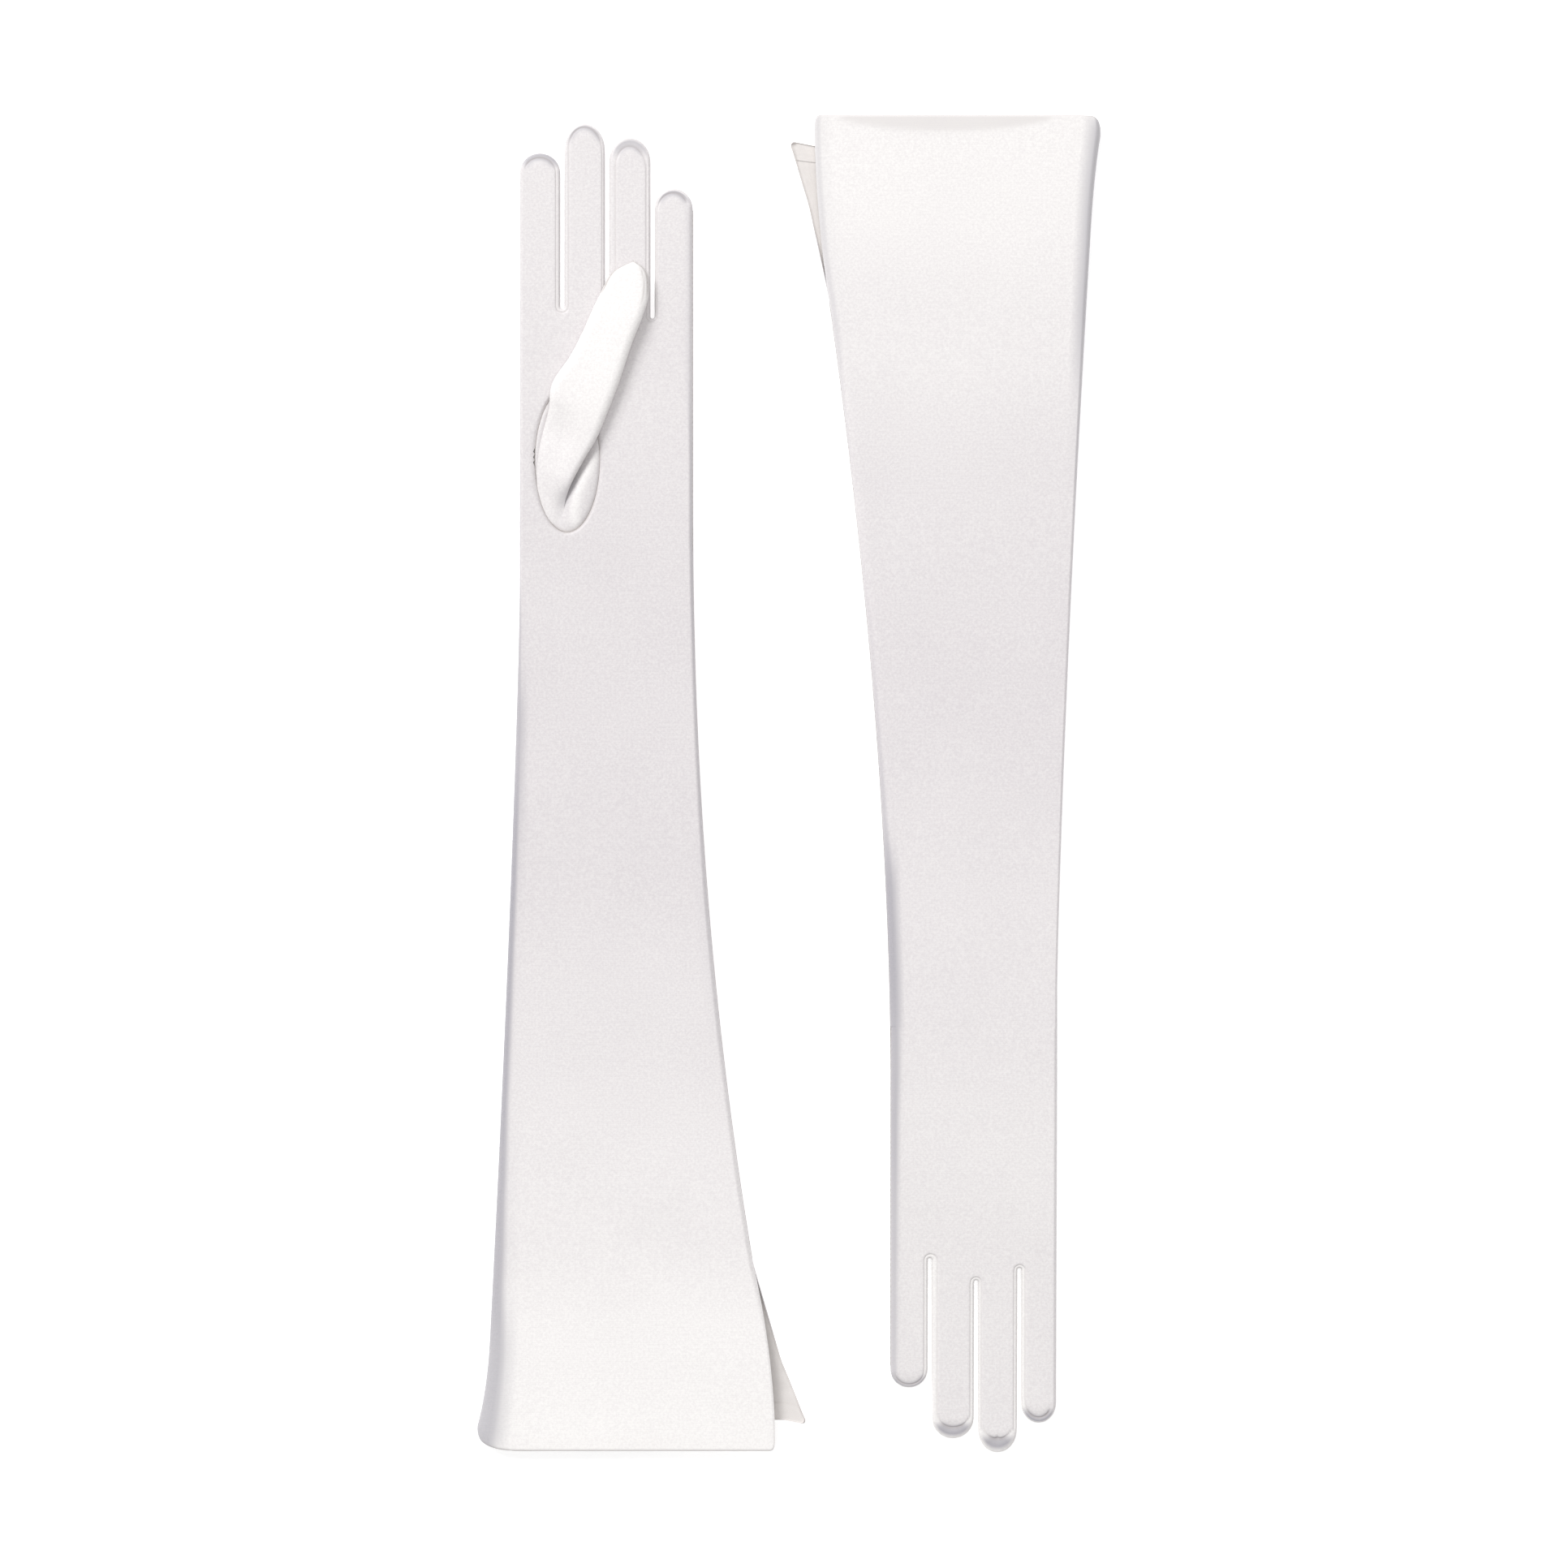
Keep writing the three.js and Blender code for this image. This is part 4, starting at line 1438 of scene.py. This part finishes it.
@dataclass
class Hem:
    """The hem turned inside at the mouth."""

    trank: Trank
    inset: float = 0.75  # how far it lies inside the sleeve
    setback: float = 0.25  # how far its edge lies behind the hem's

    def cloth(self) -> Cloth:
        """The turned band of both faces.

        Returns:
            Its wrong side.
        """
        plan, bands = self.trank.plan, []
        for face in Face:
            sleeve = self.trank.sleeve_face(face)
            rows = self.trank.rows()
            count = int((rows <= HEM_DEPTH).sum())
            columns = len(sleeve.points) // len(rows)
            points = sleeve.points[: count * columns].copy()
            middle = plan.back(points[:, 1]) + plan.thickness(points[:, 1]) / 2
            above = np.abs(points[:, 2] - middle)
            kept = np.maximum(above - self.inset, above * 0.6)
            points[:, 2] = middle + np.sign(points[:, 2] - middle) * kept
            points[:, 0] = points[:, 0] + np.sign(plan.width / 2 - points[:, 0]) * self.inset * 0.8
            points[:, 1] += self.setback
            bands.append(Cloth(points, lattice(count, columns, flip=face is Face.PALM)))
        return bands[0].joined(bands[1]).shaded()


@dataclass
class Stitching:
    """Sewing thread that runs in a seam as a row of short stitches."""

    radius: float = 0.24
    stitch: float = 2.4  # length of one stitch
    dip: float = 0.2  # how far it sinks between stitches
    sides: int = 6

    def strand(self, path: np.ndarray, closed: bool = False) -> Cloth:
        """A thread along a path.

        Args:
            path: places that it passes through.
            closed: whether its ends meet.

        Returns:
            The thread, with closed ends.
        """
        step = np.linalg.norm(np.diff(path, axis=0), axis=1)
        along = np.concatenate([[0], np.cumsum(step)])
        count = max(6, int(along[-1] / self.stitch * 4))
        at = np.linspace(0, along[-1], count + 1)
        line = np.stack([np.interp(at, along, path[:, k]) for k in range(3)], axis=1)
        turns = max(1, round(along[-1] / self.stitch))
        line[:, 2] += self.dip * np.cos(2 * math.pi * turns * at / along[-1])
        if closed:
            line = line[:-1]
            tangent = np.roll(line, -1, axis=0) - np.roll(line, 1, axis=0)
        else:
            tangent = np.gradient(line, axis=0)
        tangent /= np.linalg.norm(tangent, axis=1, keepdims=True)
        side = np.cross(tangent, [0.0, 0.0, 1.0])
        side /= np.linalg.norm(side, axis=1, keepdims=True)
        up = np.cross(side, tangent)
        sides = self.sides
        turn = np.linspace(0, 2 * math.pi, sides, endpoint=False)
        ring = np.cos(turn)[None, :, None] * side[:, None] + np.sin(turn)[None, :, None] * up[:, None]
        points = (line[:, None] + self.radius * ring).reshape(-1, 3)
        rows, faces = len(line), []
        for i in range(rows if closed else rows - 1):
            a, b = i * sides, (i + 1) % rows * sides
            for k in range(sides):
                m = (k + 1) % sides
                faces.append((a + k, a + m, b + m, b + k))
        if not closed:
            faces += [tuple(range(sides))[::-1], tuple((rows - 1) * sides + k for k in range(sides))]
        return Cloth(points, faces)


@dataclass
class SideSeam:
    """The thread that joins the palm and the back along the little finger's edge."""

    plan: Plan
    stop: float = 10.0  # how far short of the fingertip it ends
    inset: float = 0.12
    count: int = 40  # places along each stretch

    def strands(self) -> dict[str, Cloth]:
        """Its four stretches, divided where the cloth is.

        Returns:
            The threads by name.
        """
        plan, sewing = self.plan, Stitching()
        middle = (plan.elbow + plan.wrist) / 2
        bounds = {
            "upper_seam_thread": (plan.cut.vent + 1.5, middle),
            "forearm_seam_thread": (middle, plan.hand_start),
            "hand_seam_thread": (plan.hand_start, plan.finger_start),
            "little_seam_thread": (plan.finger_start, plan.spans[3][2] - self.stop),
        }
        out = {}
        for name, (start, end) in bounds.items():
            v = np.linspace(start, end, self.count)
            w = plan.back(v) + plan.thickness(v) / 2
            u = plan.seam_edge(v, Face.PALM) - self.inset
            out[name] = sewing.strand(np.stack([u, v, w], axis=1))
        return out


# ---------------------------------------------------------------- the thumb


@dataclass
class Thumb:
    """The folded thumb and the base that joins it to the oval hole in the palm."""

    plan: Plan
    height: float = 5.0
    lift: float = 1.5  # of the edge that stands off the palm
    rows: int = 96
    columns: int = 34
    mouth: tuple[float, float] = (6.5, 12.0)  # half sizes of the way from the hand into the thumb
    low_rolls: tuple[float, float] = (9.0, 4.6)  # width of the round low edge at the base and beyond
    high_roll: float = 2.6
    high_roll_gain: float = 1.6
    leaves_oval: tuple[float, float] = (0.33, 0.16)  # where it comes free, and over what length
    base_depth: float = 1.25  # how far the base's edge lies below the palm
    lobe_height: float = 2.6
    rings: int = 18  # of the base
    spokes: int = 80
    # The two sides of the outline, from the bottom of the oval to the tip, measured from the pivot.
    low_side: tuple[tuple[float, float], ...] = (
        (-0.1, -30.4), (-8.4, -25.0), (-13.2, -12.5), (-13.6, 1.0), (-10.9, 15.0), (-8.2, 25.5),
        (-6.6, 36.5), (1.6, 49.0), (7.0, 59.5), (11.2, 69.0), (15.6, 78.0), (20.6, 86.6), (30.0, 91.7),
    )
    high_side: tuple[tuple[float, float], ...] = (
        (-0.1, -30.4), (-1.6, -23.0), (-0.6, -15.5), (2.6, -7.6), (8.0, 2.3), (13.3, 11.1),
        (17.9, 21.8), (23.6, 36.5), (29.2, 53.4), (34.6, 67.2), (37.0, 76.5), (36.0, 86.6), (30.0, 91.7),
    )

    def palm(self) -> float:
        """Height of the palm under the thumb."""
        v = np.array(self.plan.pivot[1])
        return float(self.plan.back(v) + self.plan.thickness(v))

    def _low_high(self) -> tuple[np.ndarray, np.ndarray, np.ndarray]:
        """The outline row by row.

        Returns:
            The low side, the high side, and how far along each row is.
        """
        low = self._leaning(spline(np.array(self.low_side), self.rows))
        high = self._leaning(spline(np.array(self.high_side), self.rows))
        return low, high, np.linspace(0, 1, self.rows)

    def _leaning(self, at: np.ndarray) -> np.ndarray:
        """Turns places past the oval towards the index finger, and gathers them in.

        Args:
            at: places measured from the pivot.

        Returns:
            The moved places.
        """
        turn = math.radians(self.plan.cut.thumb_lean) * smooth(at[:, 1] / 30.0)
        gathered = 1 - (1 - self.plan.cut.thumb_reach) * smooth(at[:, 1] / 60.0)
        x, y = at[:, 0] * gathered, at[:, 1] * gathered
        across = x * np.cos(turn) - y * np.sin(turn)
        return np.stack([across, x * np.sin(turn) + y * np.cos(turn)], axis=1)

    def stall(self) -> Cloth:
        """The thumb's own cloth, above and below.

        Returns:
            Both sides with their lining.
        """
        low, high, along = self._low_high()
        x = (1 - np.cos(np.linspace(0, math.pi, self.columns))) / 2
        at = low[:, None] + (high - low)[:, None] * x[None, :, None]
        width = np.linalg.norm(high - low, axis=1)[:, None]
        t = along[:, None]
        from_low, from_high = x * width, (1 - x) * width
        free = smooth((t - self.leaves_oval[0]) / self.leaves_oval[1])
        low_roll = self.low_rolls[0] * (1 - free) + self.low_rolls[1] * free
        high_roll = self.high_roll + self.high_roll_gain * free
        to_tip = np.linalg.norm(at - low[-1], axis=2)
        risen = smooth((t - 0.11) / 0.14)
        high_side = quarter(from_high / high_roll) * risen + smooth((from_high + 0.4) / 8.0) * (1 - risen)
        share = quarter(from_low / low_roll) * high_side * quarter((to_tip + 0.6) / 4.5)
        swell = smooth(t / 0.10) * (0.42 + 0.58 * smooth((t - 0.12) / 0.35))
        full = self.height * swell * (1 - 0.16 * smooth((t - 0.7) / 0.3))
        sunk = 0.9 * (1 - smooth(t / 0.07))
        low_edge = -1.15 * (1 - free) + (0.25 + full / 2) * free - sunk
        stood = 0.25 + full / 2 + self.lift * smooth((t - 0.35) / 0.4)
        high_edge = -(self.base_depth + sunk) * (1 - risen) + stood * risen
        middle = low_edge + (high_edge - low_edge) * smooth(x[None, :])
        fold = 0.16 * np.sin(at[..., 0] * 0.42 - at[..., 1] * 0.13 + 1.0) * smooth((0.5 - t) / 0.3) * share
        top = self.palm() + middle + full / 2 * share + fold
        rest = 0.2 * free - 1.1 * (1 - free)
        bottom = self.palm() + np.maximum(middle - full / 2 * share, np.minimum(rest, middle))
        edge = np.minimum(np.minimum(from_low, from_high), to_tip)
        seam = bell(edge - 0.6, 0.45) * smooth((t - 0.80) / 0.06)
        strip = bell(from_high - 2.2, 0.3) * smooth((t - 0.76) / 0.05) * smooth((0.95 - t) / 0.04)
        mask = np.maximum(seam, strip * 0.7)
        top = top - 0.2 * mask
        # Painted shade in the crease beside the thumb's base.
        hollow = bell(from_high - 0.5, 2.4) * bell(t - 0.16, 0.07) * 0.30
        sides = []
        origin = np.array(self.plan.pivot)
        # Painted light: the thumb is painted lighter from its base towards its tip.
        tone = 0.60 + 0.36 * smooth((np.broadcast_to(t, at.shape[:2]) - 0.15) / 0.5)
        deep = np.clip(0.36 * (top - bottom), 0.02, CLOTH_THICKNESS)
        for heights, flip, line in ((top, False, mask), (bottom, True, mask * 0)):
            points = np.dstack([at + origin, heights]).reshape(-1, 3)
            faces = lattice(self.rows, self.columns, flip=flip)
            values = {"seam": line, "tone": tone, "fold": hollow, "deep": deep}
            side = Cloth(points, faces, {name: value.reshape(-1) for name, value in values.items()})
            if flip:
                side = side.part(~self._in_mouth(side.centres()))
            sides.append(side)
        whole = sides[0].joined(sides[1]).welded().shaded()
        return lined(whole, whole.masks.pop("deep"))

    def _in_mouth(self, at: np.ndarray) -> np.ndarray:
        """Which places lie in the way from the hand into the thumb.

        Args:
            at: places in the glove's frame.

        Returns:
            One truth value for each place.
        """
        wide, long = self.mouth
        x, y = at[:, 0] - self.plan.pivot[0], at[:, 1] - self.plan.pivot[1]
        return ((x + 2.0) / wide) ** 2 + ((y - 2.0) / long) ** 2 < 1

    def base(self) -> Cloth:
        """The cloth that fills the oval, with a lobe beside the thumb's fold.

        Returns:
            Its right side.
        """
        rings, count = self.rings, self.spokes
        a, b = THUMB_RIM
        r = np.linspace(0, 1, rings + 1)[1:] ** 0.8
        turn = np.linspace(0, 2 * math.pi, count, endpoint=False)
        x = np.concatenate([[0.0], (r[:, None] * a * np.cos(turn)).ravel()])
        y = np.concatenate([[0.0], (r[:, None] * b * np.sin(turn)).ravel()]) + THUMB_RIM_RISE
        high = spline(np.array(self.high_side), 200)
        crease = np.interp(y, high[:, 1], high[:, 0])
        ratio = np.sqrt((x / a) ** 2 + ((y - THUMB_RIM_RISE) / b) ** 2)
        fold = spline(np.array(self.low_side), 200)
        sliver = smooth((np.interp(y, fold[:, 1], fold[:, 0]) - x + 1.0) / 3.0) * smooth(y / 8.0)
        lobe = smooth((x - crease + 1.2) / 6.0)
        dome = np.sqrt(np.clip(1 - ratio**2.4, 0, 1))
        ended = 1.1 * (1 - smooth((y + 27.0) / 7.0))
        left = 1.5 * sliver + (ended - 0.35) * (1 - sliver)
        w = self.palm() - self.base_depth + dome * (lobe * self.lobe_height + (1 - lobe) * left)
        points = np.stack([x + self.plan.pivot[0], y + self.plan.pivot[1], w], axis=1)
        faces: list[tuple[int, ...]] = [(0, 1 + k, 1 + (k + 1) % count) for k in range(count)]
        for i in range(rings - 1):
            start = 1 + i * count
            for k in range(count):
                m = (k + 1) % count
                faces.append((start + k, start + count + k, start + count + m, start + m))
        seam = (0.25 + 0.5 * smooth((-y - 10.0) / 18.0)) * bell(1 - ratio, 0.03)
        past = x - crease
        # Painted shade in the crease between the thumb and the lobe.
        hollow = 0.42 * bell(past - 0.2, 1.7) * bell(y + 12.0, 8.0)
        # Painted highlight: a light streak along the lobe beside the crease.
        tone = 0.42 + 0.5 * bell(past - 5.0, 2.4) * smooth((14.0 - y) / 14.0)
        cloth = Cloth(points, faces, {"seam": seam, "tone": tone, "fold": hollow}).shaded()
        return cloth.part(~self._in_mouth(cloth.centres()))

    def stitches(self) -> Cloth:
        """The thread round the oval.

        Returns:
            The thread.
        """
        a, b = THUMB_RIM
        turn = np.linspace(0, 2 * math.pi, 121)
        line = np.stack(
            [
                (a - 0.1) * np.cos(turn) + self.plan.pivot[0],
                (b - 0.1) * np.sin(turn) + self.plan.pivot[1] + THUMB_RIM_RISE,
                np.full(turn.shape, self.palm() - 1.05),
            ],
            axis=1,
        )
        return Stitching(radius=0.16, dip=0.08).strand(line, closed=True)


# ---------------------------------------------------------------- a whole glove


@dataclass
class Glove:
    """One glove: its pieces, what each moves with and what each is made of."""

    plan: Plan
    finishes: Finishes

    def build(self) -> list[bpy.types.Object]:
        """Makes and dresses every piece of the glove.

        Returns:
            The new objects.
        """
        trank = Trank(self.plan)
        satin = [self.finishes.satin]
        both = [self.finishes.satin, self.finishes.wrong_side]
        made = []
        for name, cloth in trank.pieces().items():
            if name == "upper_sleeve":
                made.append(self._add(name, lined(cloth, CLOTH_THICKNESS), both))
            else:
                made.append(self._add(name, cloth, satin))
        wrong = [self.finishes.wrong_side]
        made.append(self._add("turned_hem", Hem(trank).cloth(), wrong))
        for name, strand in SideSeam(self.plan).strands().items():
            made.append(self._add(name, strand, [self.finishes.thread]))
        thumb = Thumb(self.plan)
        made.append(self._add("thumb", thumb.stall(), both))
        made.append(self._add("thumb_base", thumb.base(), satin))
        made.append(self._add("thumb_seam_thread", thumb.stitches(), [self.finishes.thread]))
        return made

    def _add(
        self, name: str, cloth: Cloth, materials: Sequence[bpy.types.Material]
    ) -> bpy.types.Object:
        """Makes one piece and ties it to the frame.

        Args:
            name: the CAD node that it stands for, without the glove's name.
            cloth: its mesh.
            materials: its materials.

        Returns:
            The new object.
        """
        glove = self.plan.name
        made = self.plan.place.hang(cloth, f"{glove}_{name}_cloth", materials)
        self._tie(made, name)
        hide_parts(f"{glove}_{name}")
        self._declare(name, cloth)
        LOG.info("%s %s: %d faces", glove, name, len(cloth.faces))
        return made

    def _tie(self, made: bpy.types.Object, name: str) -> None:
        """Ties the turned hem to the upper arm and the pieces that cross no joint to the palm; the pieces
        at a joint and the thumb are left untied where they lie.

        Args:
            made: the piece.
            name: its CAD node, without the glove's name.
        """
        plan = self.plan
        bodies = {
            "upper_sleeve": ("upper_arm", "forearm", plan.elbow, ELBOW_FOLD),
            "upper_seam_thread": ("upper_arm", "forearm", plan.elbow, ELBOW_FOLD),
            "forearm_sleeve": ("forearm", "palm", plan.wrist, WRIST_FOLD),
            "forearm_seam_thread": ("forearm", "palm", plan.wrist, WRIST_FOLD),
            "little_seam_thread": ("palm", "little", plan.knuckle, KNUCKLE_FOLD),
        }
        for finger in FINGERS:
            bodies[f"{finger}_finger"] = ("palm", finger, plan.knuckle, KNUCKLE_FOLD)
            for other in FINGERS:
                bodies[f"{finger}_fourchette_to_{other}"] = bodies[f"{finger}_finger"]
        if name in bodies:
            first, second, at, half = bodies[name]
            start = plan.place.point(0, at - half, 0)
            end = (start[0], plan.place.point(0, at + half, 0)[1], start[2])
            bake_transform(made)
        elif name == "thumb":
            u, v = plan.pivot
            start, end = (plan.place.point(u + across, v + along, 0) for across, along in THUMB_BEND)
            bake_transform(made)
        elif name == "turned_hem":
            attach(made, f"{plan.name}_upper_arm")
        else:
            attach(made, f"{plan.name}_palm")

    def _declare(self, name: str, cloth: Cloth) -> None:
        """Works out the size and area of each main piece of cloth, and does nothing more with them.

        Args:
            name: its CAD node, without the glove's name.
            cloth: its mesh.
        """
        if name not in ("upper_sleeve", "forearm_sleeve", "hand", "thumb"):
            return
        span = cloth.points.max(0) - cloth.points.min(0)
        layers = 2 if "inside" in cloth.masks else 1
        area = cloth.area() / layers * MM**2


# ---------------------------------------------------------------- the studio


FLOOR_SIGNS = ((-1, -1), (1, -1), (1, 1), (-1, 1))


@dataclass
class Studio:
    """A pale floor, soft light from above and a camera that looks straight down."""

    frame_height: float = 0.708
    lens: float = 100.0
    centre: tuple[float, float] = (-0.0024, 0.0002)
    plane: float = 0.0035  # height of the plane that the frame's height is measured in
    floor_half: float = 6.0
    floor_drop: float = 0.0004  # how far the floor lies below the gloves
    glow: float = 0.34  # the floor is a lighting table, a pale sheet faintly lit from below
    room_light: float = 0.50

    def build(self) -> None:
        """Makes the floor, the lights and the camera."""
        self._floor()
        self._world()
        self._softbox("top_softbox", (0.1, -0.1, 2.7), 0.7, 17.0)
        self._softbox("key_softbox", (-2.5, 3.7, 3.55), 2.7, 240.0)
        self._camera()
        bpy.context.scene.view_settings.view_transform = "Standard"

    def _floor(self) -> None:
        """A wide pale sheet under the gloves."""
        mesh = bpy.data.meshes.new("floor")
        corners = [(x * self.floor_half, y * self.floor_half, -self.floor_drop) for x, y in FLOOR_SIGNS]
        mesh.from_pydata(corners, [], [(0, 1, 2, 3)])
        floor = bpy.data.objects.new("floor", mesh)
        bpy.context.scene.collection.objects.link(floor)
        shader = Shader("pale_floor")
        pale = {"Base Color": (0.94, 0.94, 0.94, 1), "Roughness": 0.9}
        lit = {"Emission Color": (1, 1, 1, 1), "Emission Strength": self.glow}
        mesh.materials.append(shader.finish({}, {**pale, **lit}))

    def _world(self) -> None:
        """Even light from all round."""
        world = bpy.data.worlds.new("soft_room")
        world.use_nodes = True
        background = world.node_tree.nodes["Background"]
        background.inputs["Color"].default_value = (1, 1, 1, 1)
        background.inputs["Strength"].default_value = self.room_light
        bpy.context.scene.world = world

    @staticmethod
    def _softbox(name: str, place: tuple[float, float, float], size: float, power: float) -> None:
        """A square lamp that faces the gloves.

        Args:
            name: the lamp's name.
            place: where it hangs, in metres.
            size: length of its side, in metres.
            power: its strength, in watts.
        """
        lamp = bpy.data.lights.new(name, "AREA")
        lamp.size = size
        lamp.energy = power
        made = bpy.data.objects.new(name, lamp)
        made.location = place
        made.rotation_euler = (-Vector(place)).to_track_quat("-Z", "Y").to_euler()
        bpy.context.scene.collection.objects.link(made)

    def _camera(self) -> None:
        """A camera straight above the pair."""
        camera = bpy.data.cameras.new("overhead_camera")
        camera.lens = self.lens
        camera.clip_end = 20
        made = bpy.data.objects.new("overhead_camera", camera)
        height = self.frame_height * self.lens / camera.sensor_width + self.plane
        made.location = (*self.centre, height)
        bpy.context.scene.collection.objects.link(made)
        bpy.context.scene.camera = made


def main() -> None:
    """Builds the pair and its studio."""
    logging.basicConfig(level=logging.INFO, format="%(name)s: %(message)s")
    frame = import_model()
    finishes = Finishes(SatinFinish().build(), WrongSideFinish().build(), ThreadFinish().build())
    pivots = {joint["name"]: joint for joint in frame["joints"]}
    for cut in (LEFT_CUT, RIGHT_CUT):
        pivot = Vector(pivots[f"{cut.side.value}_thumb_swing"]["pos_m"])
        pieces = Glove(Plan.read(cut, pivot), finishes).build()
        LOG.info("%s glove: %d pieces", cut.side.value, len(pieces))
    Studio().build()


if __name__ == "__main__":
    main()
